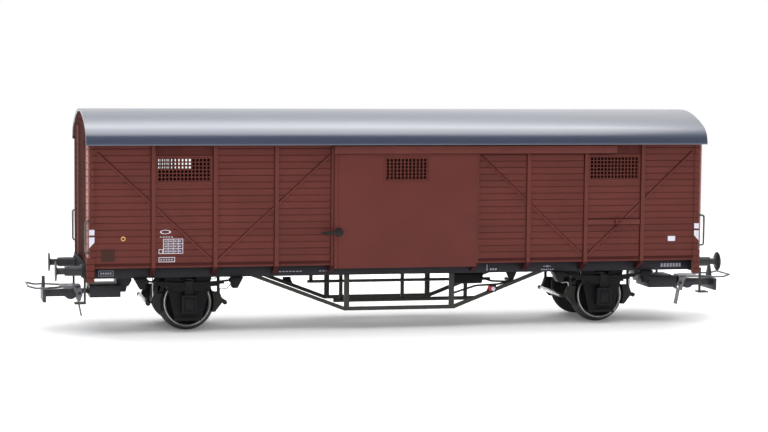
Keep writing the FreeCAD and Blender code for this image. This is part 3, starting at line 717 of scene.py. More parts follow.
def plank_grooves(piece, faces, verts, push, top=last_groove):
    """V lines at the plank pitch. The middle row of vertices moves by `push`, or along its
    normals where `push` is a number."""
    lines = 0
    while first_groove + lines * plank_pitch < top:
        z = first_groove + lines * plank_pitch
        cut(piece, "z", (z - groove_half, z, z + groove_half), faces)
        if pick(piece, "verts", lambda v: abs(v.co.z - z) < 0.004 and verts(v)):
            if isinstance(push, tuple):
                bpy.ops.transform.translate(value=push)
            else:
                bpy.ops.transform.shrink_fatten(value=push)
        leave()
        lines += 1
    print("  %s: %d plank lines" % (piece.name, lines))


# %% One wall panel
vent_low, vent_high = span("vent_grilles")
vent_wid = 11.9
bay_posts = (43.0, 56.75)       # middles of the posts beside the vent
post_half = 0.525
bay_half = (bay_posts[1] - bay_posts[0]) / 2 - post_half
vent_mid = sum(bay_posts) / 2
plate_sunk = 0.2
plate_from, plate_to = vent_high.z + 0.28, wall_high.z - 0.1        # its lower and upper edge


def vent_corners(mid):
    """Lowest and highest corner of the wall vent whose middle is at a place along the van."""
    return (Vector((mid - vent_wid / 2, 0, vent_low.z)),
            Vector((mid + vent_wid / 2, 0, vent_high.z)))


def wall_panel(name, near_x, far_x, vent_x):
    """A side wall between two places along the van, with its vent and sunk plate."""
    panel = block(name, (near_x, wall_low.y, wall_low.z), (far_x, wall_high.y, wall_high.z))
    window_in(panel, *vent_corners(vent_x))
    # the plate above the vent: a smooth face set back between the posts
    above = lambda f: facing(f) and middle(f).z > vent_high.z
    on_plate = lambda f: above(f) and abs(middle(f).x - vent_x) < bay_half
    cut(panel, "x", (vent_x - bay_half, vent_x + bay_half), above)
    cut(panel, "z", (plate_from, plate_to), on_plate)
    sunk(panel, (0, plate_sunk),
         test=lambda f: on_plate(f) and plate_from < middle(f).z < plate_to)
    plank_grooves(panel, lambda f: facing(f) and not on_plate(f),
                  lambda v: abs(v.co.y - wall_low.y) < 0.01, (0, groove_deep, 0))
    return panel


# %% Both walls
door_lap = 0.9          # the door covers this much wall on each side of the doorway
# the band between the lip and the lowest plank line is flat and is painted dark as the shade of
# a recess
lip_high = 0.4          # the bottom rail's lip, below a broad dark recess
lip_round = 0.08
walls = joined("side_wall_near", [
    wall_panel("side_wall_near", wall_low.x, door_low.x + door_lap, -vent_mid),
    wall_panel("panel_right", door_high.x - door_lap, wall_high.x, vent_mid)])
cut(walls, "z", (wall_low.z + lip_high, wall_low.z + lip_high + lip_round))
# the sunk plate above each vent is painted darker, as shade from the eave
on_sunk_plate = lambda at, normal: (
    abs(normal.y) > 0.9 and at.z > vent_high.z and bay_posts[0] < abs(at.x) < bay_posts[1]
    and abs(abs(at.y) - abs(wall_low.y) + plate_sunk) < 0.02)
# the boards above the bottom lip are painted darker as shade
under_boards = lambda at, normal: (
    abs(normal.y) > 0.5 and wall_low.z + lip_high < at.z < first_groove - 0.05)
finish_pair(walls, "chassis", "brown_planks", "body_brown", ["side_panels_{}"], edge=0,
            paints=[("brown_plate", on_sunk_plate), ("brown_recess", under_boards)])

# %% Inner stiffeners
# a pillar and a rail inside the far wall stand behind the last holes of its vents
pillar_from = bay_posts[0] + 10.7
inner_face, outer_face, face_sunk = -face_y - 2.2, -face_y - 1.0, 0.3
stiffeners = []
# columns: range along the van, range of height, border left round the sunk face
for xs, zs, border in (
        ((pillar_from, bay_posts[1]), (vent_low.z - 2, vent_high.z + 1.5), 0.35),
        ((-bay_posts[1], -bay_posts[0]), (vent_low.z - 0.4, vent_low.z + 1.0), 0.25)):
    bar = block("stiffener", (xs[0], inner_face, zs[0]), (xs[1], outer_face, zs[1]))
    sunk(bar, (border, face_sunk))
    stiffeners.append(bar)
# the pillar and rail take the brown painted darker as shade
finish(joined("inner_pillar", stiffeners), "chassis", "brown_end", "body_brown", edge=0.1)

# %% [markdown]
# ## End walls and corner posts
# The end is a planked frame with an arched band under the roof and a sunk middle panel. Its
# outline follows the roof, which is tedious to draw again, so the solid itself is copied,
# its loose triangles are merged, and the same plank lines are cut into its raised face. The
# rounded corner posts get a notch at each line, so that the boards seem to run round them.

# %% End walls
end_high = span("end_wall_right")[1]
arch_lines_top = end_high.z - 1.2
panel_half = 7.7        # half the width of the sunk middle panel
# the flanks of the sunk middle panel are painted pale, as a highlight where the light catches
# them
flank = lambda at, normal: abs(normal.y) > 0.9 and abs(at.y) < panel_half + 0.1
for side, sign in (("right", 1), ("left", -1)):
    wall = copied_solid("end_planks_" + side, "end_wall_" + side)
    face_x = sign * end_high.x
    plank_grooves(wall, lambda f: f.normal.x * sign > 0.9 and abs(middle(f).x - face_x) < 0.02,
                  lambda v: abs(v.co.x - face_x) < 0.02, (-sign * groove_deep, 0, 0),
                  top=arch_lines_top)
    # the end wall takes the brown painted darker as shade
    finish(wall, "chassis", "brown_end", "body_brown", ["end_wall_" + side], edge=0,
           paints=[("edge_worn", flank)])

# %% Corner posts
posts = copied_solid("corner_posts_notched", "corner_posts")
outward = lambda f: abs(f.normal.z) < 0.3 and (
    abs(middle(f).x) > wall_high.x + 0.05 or abs(middle(f).y) > abs(face_y) + 0.05)
on_round = lambda v: abs(v.co.x) > wall_high.x - 0.3 and abs(v.co.y) > abs(face_y) - 0.3
plank_grooves(posts, outward, on_round, -groove_deep)
# the rounded corner is painted lighter as a highlight, palest where it is most round
highlight_above = wall_low.z + 2
rounded = lambda at, normal: (
    abs(normal.x) > 0.15 and abs(normal.y) > 0.15 and at.z > highlight_above)
most_round = lambda at, normal: (
    rounded(at, normal) and min(abs(normal.x), abs(normal.y)) > 0.42)
# the step beside the wall is painted lighter to take out its shade
step_beside_wall = lambda at, normal: (
    abs(normal.x) > 0.9 and abs(at.x) < corner_high.x - 1.5
    and abs(at.y) > abs(face_y) - 0.05)
finish(posts, "chassis", "brown_corner", "body_brown", ["corner_posts"], edge=0,
       paints=[("edge_soft", rounded), ("painted_highlight_pale", most_round),
               ("edge_soft", step_beside_wall)])

# %% [markdown]
# ## Roof
# The roof is one arched sheet. Its section is a large crown arc between two tight shoulders
# that end upright at the eaves. A single point, spun through the three arcs in turn, draws
# that section; extruding it along the van makes the sheet, and Solidify gives it thickness.

# %% Drawing helpers
def dot(name, place):
    """A mesh of one vertex, from a plane whose corners are merged."""
    start_fresh()
    bpy.ops.mesh.primitive_plane_add(size=1, location=place)
    settle()
    piece = name_it(name)
    pick(piece, "verts")
    bpy.ops.mesh.merge(type="CENTER")
    leave()
    return piece


def drawn_line(name, points):
    """A chain of edges: one vertex, extruded from point to point."""
    points = [Vector(point) for point in points]
    piece = dot(name, points[0])
    pick(piece, "verts")
    for start, end in zip(points, points[1:]):
        drag(end - start)
    leave()
    return piece


def lathe(name, points, centre, axis, steps=48):
    """A line spun a full turn about an axis."""
    piece = drawn_line(name, points)
    pick(piece, "verts")
    bpy.ops.mesh.spin(steps=steps, angle=2 * math.pi, center=centre, axis=axis)
    pick(piece, "verts")
    bpy.ops.mesh.remove_doubles(threshold=0.003)
    face_out(piece)
    return piece


# %% Roof sheet
shoulder = 4.4          # radius of the tight bend at the eave
roof_thick = 0.6
half_roof = roof_high.y
rise = roof_high.z - roof_low.z
flat_half = half_roof - shoulder
crown = (flat_half ** 2 + rise ** 2 - shoulder ** 2) / (2 * (rise - shoulder))
crown_z = roof_high.z - crown
lean = math.atan2(flat_half, roof_low.z - crown_z)

roof = dot("roof_sheet", (roof_low.x, -half_roof, roof_low.z))
reach = -half_roof
# columns: angle, middle of the arc in Y and Z, steps
for angle, mid_y, mid_z, steps in ((math.pi / 2 - lean, -flat_half, roof_low.z, 14),
                                   (2 * lean, 0, crown_z, 40),
                                   (math.pi / 2 - lean, flat_half, roof_low.z, 14)):
    pick(roof, "verts", lambda v: abs(v.co.y - reach) < 0.001)
    bpy.ops.mesh.spin(steps=steps, angle=angle, center=(roof_low.x, mid_y, mid_z),
                      axis=(1, 0, 0))
    leave()
    reach = max(v.co.y for v in roof.data.vertices)
print("roof section runs from y = %.2f to %.2f mm" % (-half_roof, reach))
pick(roof, "edges")
drag((roof_high.x - roof_low.x, 0, 0))
face_out(roof)
only(roof)
bpy.ops.object.modifier_add(type="SOLIDIFY")
roof.modifiers[-1].thickness = roof_thick
roof.modifiers[-1].offset = -1
bpy.ops.object.modifier_apply(modifier=roof.modifiers[-1].name)
print("roof thickness reaches z = %.2f mm" % max(v.co.z for v in roof.data.vertices))

# %% Soffits
soffit_inner, play = 14.1, 0.05
border, raised = 0.5, 0.12      # the strip's middle lies a little higher than its border
soffits = []
for sign in (-1, 1):
    inner, outer = sorted((sign * soffit_inner, sign * (half_roof - play)))
    strip = block("soffit", (roof_low.x + play, inner, roof_low.z),
                  (roof_high.x - play, outer, roof_low.z + roof_thick))
    pick(strip, "faces", lambda f: f.normal.z < -0.9)
    bpy.ops.mesh.inset(thickness=border)
    bpy.ops.transform.translate(value=(0, 0, raised))
    leave()
    soffits.append(strip)
finish(roof, "chassis", "roof_paint", "roof_grey", ["roof"], edge=0.05, angle=50)
# the soffits under the eaves take the brown painted darker as shade
finish(joined("roof_soffits", soffits), "chassis", "brown_end", "body_brown", edge=0.05)

# %% [markdown]
# ## Sliding doors
# The door is a smooth pressed sheet. Its leading edge is folded into a narrow lip, and its
# vent has a thin raised rim. The lip is cut as a shallow line near the edge, and the rim is a
# plate in front of the sheet with the vent's window cut through it.

# %% Door sheet
grille_low, grille_high = span("door_grille_near")
lip_wid, lip_line, line_deep = 0.75, 0.1, 0.12
lip_at = door_low.x + lip_wid + lip_line
door = block("door_sheet_near", door_low, door_high)
window_in(door, grille_low, grille_high)
cut(door, "x", (lip_at - lip_line, lip_at, lip_at + lip_line))
shift(door, lambda v: abs(v.co.x - lip_at) < 0.01 and abs(v.co.y - door_low.y) < 0.01,
      (0, line_deep, 0))
finish_pair(door, "door_{}", "brown_door", "body_brown", ["door_{}"], edge=0.07, angle=50)

# %% Vent rims on doors and walls
rim_wid, rim_proud = 0.3, 0.1


def vent_rim(low, high, front):
    """A thin raised ring round a vent, in front of the plane y = front."""
    ring = block("rim", (low.x - rim_wid, front - rim_proud, low.z - rim_wid),
                 (high.x + rim_wid, front + 0.05, high.z + rim_wid))
    window_in(ring, low, high)
    return ring


# a narrow stiffener inside the sheet closes the second column of holes; it is painted dark as
# the shade inside them
column_from, column_to = 1.25, 1.9
column = block("column", (grille_low.x + column_from, grille_high.y - 0.15, grille_low.z + 0.2),
               (grille_low.x + column_to, grille_high.y - 0.02, grille_high.z - 0.2))
on_column = lambda at, normal: abs(at.y) < abs(door_low.y) - 0.3
finish_pair(joined("door_rim_near", [vent_rim(grille_low, grille_high, door_low.y), column]),
            "door_{}", "brown_door", "body_brown", edge=0.03,
            paints=[("hole_shade_dark", on_column)])
wall_rims = [vent_rim(*vent_corners(sign * vent_mid), face_y) for sign in (-1, 1)]
finish_pair(joined("wall_rims_near", wall_rims), "chassis", "brown_plain", "body_brown",
            edge=0.03)

# %% [markdown]
# ## Carried-over solids
# Many small parts are already the right shape. Those that show an edge are copied, merged and
# given a narrow bevel, and the rest keep their own mesh and only get a finish. The raised
# bars on the sides first get a chamfer along their shaded edges, painted dark as shade; the
# door rail also gets one along its top edge, painted pale as a highlight.

# %% Raised bars
def flanked(node, *lines):
    """A raised bar with a chamfer along some front edges, painted as shade or as a highlight.

    Each line is a paint, a width, a test for its edges and their distance from the wall."""
    piece = copied_solid(node + "_flanked", node)
    for paint in ["brown_plain"] + [line[0] for line in lines]:
        piece.data.materials.append(bpy.data.materials[paint])
    for number, (paint, width, leads, proud) in enumerate(lines, start=1):
        on_front = lambda vert: abs(abs(vert.co.y) - abs(face_y) - proud) < 0.02
        pick(piece, "edges", lambda edge: leads(edge) and all(map(on_front, edge.verts)))
        bpy.ops.mesh.bevel(offset=width, segments=1, material=number)
    leave()
    cut(piece, "z", [wall_low.z])
    spots = {face.center.copy().freeze(): face.material_index
             for face in piece.data.polygons if face.material_index}
    painted = lambda number: lambda at, normal: any(
        index == number and (at - spot).length < 0.02 for spot, index in spots.items())
    paints = [(line[0], painted(number)) for number, line in enumerate(lines, start=1)]
    below_wall = lambda at, normal: at.z < wall_low.z
    finish(piece, "chassis", "brown_plain", "body_brown", [node], edge=0.03, segments=1,
           paints=paints + [("brown_foot", below_wall)])


def run_of(edge):
    return edge.verts[1].co - edge.verts[0].co


def left_edge(edge):
    """The upright front edge that is on the left when that side is faced."""
    side = -1 if edge.verts[0].co.y < 0 else 1
    return abs(run_of(edge).z) > 5 and any(f.normal.x * side > 0.8 for f in edge.link_faces)


def upper_edge(edge, up=1):
    """A level or sloping front edge on the upper flank of a bar."""
    return abs(run_of(edge).x) > 1 and any(f.normal.z * up > 0.3 for f in edge.link_faces)


def lower_edge(edge):
    return upper_edge(edge, up=-1)


post_proud, brace_proud = 0.4, 0.25
# posts and braces get a chamfer on their shaded edge, painted dark as shade
for side in ("near", "far"):
    flanked("side_posts_" + side, ("brown_shade", 0.16, left_edge, post_proud))
    flanked("side_braces_" + side, ("brown_shade", 0.2, upper_edge, brace_proud))
rail_low, rail_high = span("door_rails")
rail_proud = abs(rail_low.y) - abs(face_y)
# the rail's lower edge is painted dark as shade and its top edge pale as a highlight
flanked("door_rails", ("brown_shade", 0.16, lower_edge, rail_proud),
        ("edge_soft", 0.12, upper_edge, rail_proud))

# %% Catch bars
bar_low, bar_high = span("door_catch_bars")
bar_proud = 0.4
bar = block("bar", (bay_posts[0] + post_half, face_y - bar_proud, bar_low.z),
            (bay_posts[1] - post_half, face_y, bar_high.z))
pick(bar, "edges", lambda edge: all(vert.co.y < face_y - 0.3 and vert.co.z > bar_high.z - 0.1
                                    for vert in edge.verts))
bpy.ops.mesh.bevel(offset=0.3, segments=1)
leave()
catch = block("catch", (rail_high.x + 0.15, bar_low.y, bar_low.z + 0.2),
              (rail_high.x + 1.75, face_y - 0.2, bar_high.z - 0.2))
sunk(catch, (0.25, 0.3))
# the sloped top of the catch bar is painted dark as shade
sloped = lambda at, normal: 0.3 < normal.z < 0.9 and abs(at.y) < abs(face_y) + 0.5
finish_pair(joined("catch_bar_near", [bar, catch]), "chassis", "brown_plain", "body_brown",
            ["door_catch_bars"], edge=0.03, paints=[("brown_shade", sloped)])

# %% Softened copies
# columns: node, finish, width of its rounded edges; the slots that aren't black
softened = (
    ("doorway_frames", "brown_plain", 0.08), ("solebars", "sill_grey", 0.08),
    ("headstocks", "end_beam_grey", 0.1), ("cross_members", "frame_black", 0.08),
    ("truss_queen_posts", "truss_grey", 0.06), ("truss_stays", "truss_grey", 0.06),
    ("truss_tie_bars", "truss_grey", 0.06), ("axleguards", "frame_black", 0.06),
    ("spring_brackets", "frame_black", 0.06), ("brake_shoes", "shoe_grey", 0.08),
    ("brake_cylinder", "frame_black", 0.12), ("brake_hangers", "frame_black", 0.06),
    ("brake_rods", "truss_grey", 0.05), ("end_steps", "truss_grey", 0.06),
    ("coupler_boxes", "box_grey", 0.1), ("ballast_weight", "weight_steel", 0.12),
    ("coupler_left", "coupler_grey", 0.07), ("coupler_right", "coupler_grey", 0.07))
slots = {"doorway_frames": "body_brown", "ballast_weight": "ballast_steel",
         "coupler_left": "coupler_black", "coupler_right": "coupler_black"}
for node, material, edge in softened:
    body = node if node in ("coupler_left", "coupler_right") else "chassis"
    finish(copied_solid(node + "_soft", node), body, material,
           slots.get(node, "floor_black"), [node], edge=edge)

# %% Pierced vent plates
# the sides of the holes are painted darker than the plate, as painted shade
hole_side = lambda at, normal: abs(normal.y) < 0.7
for node, body in (("vent_grilles", "chassis"), ("door_grille_near", "door_near"),
                   ("door_grille_far", "door_far")):
    plate = copied_solid(node + "_pierced", node, dissolve=False)
    finish(plate, body, "brown_grille", "body_brown", [node], edge=0,
           paints=[("hole_shade_dark", hole_side)])

# %% Finishes for the solids that stay
stay = {"floor": "frame_black", "wheelset_axle_left": "axle_steel",
        "wheelset_axle_right": "axle_steel", "coupler_hoop_left": "hoop_grey",
        "coupler_hoop_right": "hoop_grey"}
for node, material in stay.items():
    for socket in frame["nodes"][node].material_slots:
        socket.material = bpy.data.materials[material]
print(len(stay), "solids keep their mesh")

# %% [markdown]
# ## Door latches, brake levers and brake beams
# The latch is a handle that is thick at its pivot and thins towards both ends, on a small
# plate with a boss. The load lever by the truss is a black plate with a red quadrant and a
# pale knob. The brake beams are bright bars between the shoes with dark nuts on their ends.

# %% Latches
latch_low, latch_high = span("door_latch_near")
pivot_x, handle_z, handle_half = latch_high.x - 1.05, 22.35, 0.46
latch_y = door_low.y - 0.25     # front of the small plate
plate_half, waist, shoulder_half, boss_radius = 0.55, 2.2, 0.7, 0.42
plate = block("latch_plate", (pivot_x - plate_half, latch_y, latch_low.z),
              (pivot_x + plate_half, door_low.y, latch_high.z))
sunk(plate, (0.16, -0.08))
handle = block("latch_handle", (latch_low.x, latch_low.y + 0.05, handle_z - handle_half),
               (latch_high.x, latch_y, handle_z + handle_half))
cut(handle, "x", [pivot_x + step for step in (-waist, -shoulder_half, 0, shoulder_half)])
# columns: place along the handle, share of its height there
for place, share in ((pivot_x - waist, 0.75), (latch_low.x, 0.45), (latch_high.x, 0.4),
                     (pivot_x, 1.35)):
    swell(handle, lambda v: abs(v.co.x - place) < 0.01, (place, 0, handle_z), (1, 1, share))
boss = round_bar("boss", (pivot_x, latch_low.y, handle_z), (pivot_x, door_low.y, handle_z),
                 boss_radius, sides=20)
finish_pair(joined("latch_near", [plate, handle, boss]), "door_{}", "latch_grey",
            "floor_black", ["door_latch_{}"], edge=0.05)

# %% Load levers
lever_high = span("changeover_levers")[1]
plate_x, plate_z, plate_y = lever_high.x - 2.4, lever_high.z - 1.6, sole_low.y
backing = block("lever_plate", (plate_x, plate_y - 0.3, plate_z),
                (lever_high.x, plate_y, lever_high.z))
shift(backing, lambda v: v.co.x < plate_x + 0.1 and v.co.z > lever_high.z - 0.1, (0.7, 0, 0))
quadrant = block("lever_red", (plate_x + 0.25, plate_y - 0.5, plate_z + 0.25),
                 (plate_x + 1.25, plate_y - 0.3, lever_high.z - 0.2))
shift(quadrant, lambda v: v.co.x < plate_x + 0.3 and v.co.z < plate_z + 0.3, (0.5, 0, 0))
knob_x, knob_z = plate_x + 1.65, plate_z + 0.75
knob_line = ((0, 0.3), (0.5, 0.3), (0.5, 0.6), (0.38, 0.75), (0.2, 0.8), (0.18, 0.98),
             (0, 1.0))
knob = lathe("lever_knob", [(knob_x + r, plate_y - y, knob_z) for r, y in knob_line],
             (knob_x, 0, knob_z), (0, 1, 0), steps=24)
for piece, material, slot, nodes in (
        (backing, "frame_black", "floor_black", ["changeover_levers"]),
        (quadrant, "lever_red", "lever_red", []), (knob, "print_white", "floor_black", [])):
    finish(joined(piece.name, [piece, turned(piece)]), "chassis", material, slot, nodes,
           edge=0.04)

# %% Brake beams
beam_low, beam_high = span("brake_beams")
beam_z = (beam_low.z + beam_high.z) / 2
beam_radius = (beam_high.z - beam_low.z) / 2
cap_y = beam_high.y - 1.5       # where the nut starts
wheel_low, wheel_high = span("wheels_right")
axle_x = (wheel_low.x + wheel_high.x) / 2
beam_out = beam_high.x - beam_radius - axle_x
collar_low, collar_high, collar_size = 2.9, 3.2, 1.08
bars, nuts = [], []
for x in (axle_x - beam_out, axle_x + beam_out):
    bar = round_bar("bar", (x, -cap_y, beam_z), (x, cap_y, beam_z), beam_radius + 0.06,
                    sides=20)
    cut(bar, "y", (-collar_high, -collar_low, collar_low, collar_high))
    swell(bar, lambda v: collar_low - 0.1 < abs(v.co.y) < collar_high + 0.1,
          (x, 0, beam_z), (collar_size, 1, collar_size))
    bars.append(bar)
    for sign in (-1, 1):
        nut = round_bar("nut", (x, sign * cap_y, beam_z), (x, sign * beam_high.y, beam_z),
                        beam_radius + 0.12, sides=8)
        sunk(nut, (0.12, 0), test=lambda f: abs(f.normal.y) > 0.9)
        nuts.append(nut)
beams = joined("beam_bars", bars + nuts)
on_nut = lambda at, normal: abs(at.y) > cap_y - 0.01
finish(joined("beam_bars", [beams, turned(beams)]), "chassis", "beam_steel",
       "brake_beam_metal", ["brake_beams"], edge=0.03, paints=[("shoe_grey", on_nut)])

# %% [markdown]
# ## Brake linkage
# Two pull rods run from the brake cylinder to a cross shaft in its V hanger, and thin spring
# wires hang from the floor and hold the brake beams off the wheels. A bent rod starts as a
# chain of edges; its corners are rounded, and a curve's bevel sweeps a circle along it.

# %% Pull rods
def bent_rod(name, points, radius, bend=0.5):
    """A wire through a chain of points, with rounded corners."""
    rod = drawn_line(name, points)
    corners = [Vector(point) for point in points[1:-1]]
    pick(rod, "verts", lambda v: any((v.co - corner).length < 0.01 for corner in corners))
    bpy.ops.mesh.bevel(offset=bend, segments=4, affect="VERTICES")
    only(rod)
    bpy.ops.object.convert(target="CURVE")
    rod = name_it(name)
    rod.data.bevel_depth = radius
    rod.data.bevel_resolution = 3
    rod.data.use_fill_caps = True
    bpy.ops.object.convert(target="MESH")
    return name_it(name)


shaft_x, shaft_z, rod_y, rod_thick = 26.8, 10.15, -9.0, 0.24
linkage = [bent_rod("pull_rod", [(21.0, -6.0, 10.4), (22.5, rod_y, 10.0),
                                 (shaft_x, rod_y, 9.8)], rod_thick),
           bent_rod("lower_rod", [(12.6, -10.8, 7.5), (18.7, rod_y, 9.0),
                                  (24.3, rod_y, 9.25), (shaft_x, rod_y, 9.9)], rod_thick),
           round_bar("brake_shaft", (shaft_x, -11.2, shaft_z), (shaft_x, -6.0, shaft_z), 0.4)]
finish(joined("brake_linkage", linkage), "chassis", "shoe_grey", "floor_black", edge=0.04)

# %% Release springs
wire_y, under_floor, wire_thick = -9.35, wall_low.z + 0.02, 0.13
inner_wire = [(-10.9, under_floor), (-10.9, 11.8), (-9.1, 9.35), (-7.5, 9.5), (-7.1, 7.2),
              (-7.9, beam_z)]
outer_wire = [(7.7, under_floor), (7.7, 9.6), (7.55, 6.9), (7.9, beam_z)]
springs = joined("release_springs", [
    bent_rod("wire", [(axle_x + x, wire_y, z) for x, z in line], wire_thick, 0.3)
    for line in (inner_wire, outer_wire)])
far_left = turned(springs)
springs = joined("release_springs", [springs, far_left, turned(far_left, mirror=True)])
finish(springs, "chassis", "beam_steel", "brake_beam_metal", edge=0)

# %% [markdown]
# ## Wheels
# A wheel is turned on a lathe, so its section is drawn once as a chain of edges and spun
# about the axle. The tyre's chamfer is left as a ring of bright steel against the black disc.

# %% Wheel section
axle_z = (wheel_low.z + wheel_high.z) / 2
tread, flange, axle_radius = 5.5, 6.4, 1.0
back, face = 7.2, 10.0          # distances of the wheel's two faces from the van's middle
# columns: radius, distance outwards from the back face or inwards from the front face
from_back = ((axle_radius, 0), (1.9, 0), (2.2, 0.7), (4.4, 0.7), (4.6, 0), (6.1, 0),
             (6.3, 0.06), (flange, 0.25), (flange, 0.45), (6.28, 0.66), (5.85, 0.74),
             (5.62, 0.84), (tread, 0.98))
from_face = ((tread, 0.16), (5.44, 0.05), (5.3, 0.03), (5.0, 0.06), (4.9, 0.05),
             (4.72, 0.14), (4.6, 0.62), (4.3, 0.78), (3.4, 0.86), (2.5, 0.78), (2.15, 0.5),
             (1.95, 0.12), (1.8, 0.02), (1.35, 0), (1.22, 0.2), (axle_radius, 0.2))
disc_line = [(r, back + out) for r, out in from_back] + [(r, face - y) for r, y in from_face]
ring_line = [(r, face - y) for r, y in ((5.26, 0.03), (5.23, 0), (5.07, 0), (5.03, 0.06))]


def wheel_part(line, place):
    """Spins a line about an axle, for both of its wheels; place is 1 right or -1 left."""
    pair = [lathe("wheel_part", [(axle_x + r, sign * y, axle_z) for r, y in line],
                  (axle_x, 0, axle_z), (0, 1, 0), steps=72) for sign in (-1, 1)]
    for piece in pair:
        only(piece)
        bpy.ops.transform.translate(value=((place - 1) * axle_x, 0, 0))
        settle()
    return pair


for side, place in (("right", 1), ("left", -1)):
    discs = wheel_part(disc_line, place)
    rings = wheel_part(ring_line, place)
    finish(joined("wheel_discs_" + side, discs), "wheelset_" + side, "wheel_dark",
           "wheel_black", ["wheels_" + side], edge=0, angle=45)
    finish(joined("tyre_rings_" + side, rings), "wheelset_" + side, "rim_steel",
           "axle_steel", edge=0, angle=45)

# %% [markdown]
# ## Springs and axleboxes
# A leaf spring is a stack of flat strips, each shorter than the one above, held by a buckle.
# One leaf is modelled as a bar that bends up towards its ends, and the others are shorter.
# The axlebox is a small casting with a sunk panel and a raised cover on its front.

# %% Leaf springs
spring_high = span("leaf_springs")[1]
box_low, box_high = span("axleboxes")
leaf_count, leaf_thick, leaf_half, leaf_step = 5, 0.38, 9.4, 1.5
leaf_top, leaf_rise = 11.25, 0.55       # the top leaf's middle, and how far its ends rise
spring_front, spring_back = -13.0, -12.0
eye_radius, eye_lift, buckle_half = 0.5, 0.35, 0.95

parts = []
for count in range(leaf_count):
    half = leaf_half - count * leaf_step
    top = leaf_top - count * leaf_thick
    leaf = block("leaf", (axle_x - half, spring_front, top - leaf_thick + 0.03),
                 (axle_x + half, spring_back, top))
    stations = [half * step / 5 for step in range(-5, 6)]
    cut(leaf, "x", [axle_x + x for x in stations[1:-1]])
    for x in stations:
        shift(leaf, lambda v: abs(v.co.x - axle_x - x) < 0.01,
              (0, 0, leaf_rise * (x / leaf_half) ** 2))
    parts.append(leaf)
for sign in (-1, 1):
    eye_x, eye_z = axle_x + sign * leaf_half, leaf_top + eye_lift
    eye = round_bar("eye", (eye_x, spring_front - 0.15, eye_z),
                    (eye_x, spring_back + 0.05, eye_z), eye_radius)
    pick(eye, "faces", lambda f: abs(f.normal.y) > 0.9)
    bpy.ops.mesh.inset(thickness=0.2)
    bpy.ops.mesh.extrude_region_shrink_fatten(TRANSFORM_OT_shrink_fatten={"value": 0.12})
    leave()
    parts.append(eye)
buckle = block("buckle", (axle_x - buckle_half, spring_front - 0.2, box_high.z),
               (axle_x + buckle_half, spring_back + 0.2, spring_high.z))
sunk(buckle, (0.3, 0.12))
spring = joined("spring", parts + [buckle])
finish(at_four(spring, "spring_leaves"), "chassis", "frame_black", "floor_black",
       ["leaf_springs"], edge=0.05)

# %% Axleboxes
casting_half = 1.7
casting = block("casting", (axle_x - casting_half, box_low.y, box_low.z),
                (axle_x + casting_half, sole_low.y, box_high.z))
sunk(casting, (0.4, 0.25), (0.35, -0.2))
finish(at_four(casting, "axlebox_castings"), "chassis", "frame_black", "floor_black",
       ["axleboxes"], edge=0.08)

# %% [markdown]
# ## Handrails
# Each corner has a bent wire for the shunter's hand. Its two feet start on the side of the
# corner post and lean out past the end, so that the grip stands clear of both faces.

# %% Handrails
rail_box_low, rail_box_high = span("handrails")
grip_radius, foot_in = 0.22, 0.8
grip_at = (rail_box_high.x - grip_radius, rail_box_low.y + grip_radius)
foot_at = (corner_high.x - foot_in, corner_low.y + 0.05)
lower, upper = rail_box_low.z + grip_radius, rail_box_high.z - grip_radius
handrail = bent_rod("handrail", [foot_at + (lower,), grip_at + (lower,), grip_at + (upper,),
                                 foot_at + (upper,)], grip_radius)
finish(at_four(handrail, "handrail_wires"), "chassis", "wire_grey", "handrail_wire",
       ["handrails"], edge=0)

# %% [markdown]
# ## Buffers
# A buffer is a turned sleeve with a collar at its root, a thin rod, and a round head that is
# slightly domed so that heads roll on each other in curves.

# %% Buffers
head_low, head_high = span("buffer_heads")
root_x, buffer_y = 71.6, 10.06
buffer_z = (head_low.z + head_high.z) / 2
tip_x, face_x = span("buffer_sleeves")[1].x, head_high.x
head = (head_high.z - head_low.z) / 2
# columns: distance from the root, the sleeve's tip or the face of the head, and radius
sleeve_line = [(root_x + out, r) for out, r in (
    (0, 0.2), (0, 1.5), (0.4, 1.5), (0.5, 1.4), (0.5, 1.12), (0.6, 1.08))]
sleeve_line += [(tip_x - back, r) for back, r in (
    (0.5, 1.08), (0.45, 1.0), (0.3, 1.0), (0.25, 1.08), (0.06, 1.06), (0, 0.98), (0, 0.6))]
head_line = [(tip_x - 0.2, 0.4), (tip_x - 0.2, 0.75)] + [(face_x - back, r) for back, r in (
    (0.7, 0.75), (0.5, 1.0), (0.42, head - 0.1), (0.34, head), (0.2, head),
    (0.12, head - 0.1), (0.04, head * 0.5), (0, 0.2), (0, 0.0))]
for name, line, node in (("buffer_sleeve_set", sleeve_line, "buffer_sleeves"),
                         ("buffer_head_set", head_line, "buffer_heads")):
    one = lathe(name, [(x, -buffer_y, buffer_z + r) for x, r in line],
                (0, -buffer_y, buffer_z), (1, 0, 0), steps=40)
    finish(at_four(one, name), "chassis", "buffer_grey", "floor_black", [node], edge=0,
           angle=40)

# %% [markdown]
# ## Printed marks
# The real van carries tables, plates and shunting marks. Here they are blank: outlines, boxes
# and corner flags with no letters or numbers. Each is a film a few hundredths of a millimetre
# thick, made from a thin block whose front is inset or cut through to leave an outline.

# %% Films
film, rooted = 0.03, 0.02       # how far a film stands out of its plane and reaches into it


def patch(low, high, front=face_y, thick=film, name="patch"):
    """A thin printed patch on a plane that faces -Y; low and high are (x, z)."""
    piece = block(name, (low[0], front - thick, low[1]), (high[0], front + rooted, high[1]))
    sunk(piece, (min(0.05, (high[1] - low[1]) / 4, (high[0] - low[0]) / 4), 0))
    return piece


def outline(low, high, front=face_y, line=0.12):
    """The outline of a rectangle: a thin block with its middle cut out."""
    piece = block("outline", (low[0], front - film, low[1]),
                  (high[0], front + rooted, high[1]))
    window_in(piece, Vector((low[0] + line, 0, low[1] + line)),
              Vector((high[0] - line, 0, high[1] - line)))
    return piece


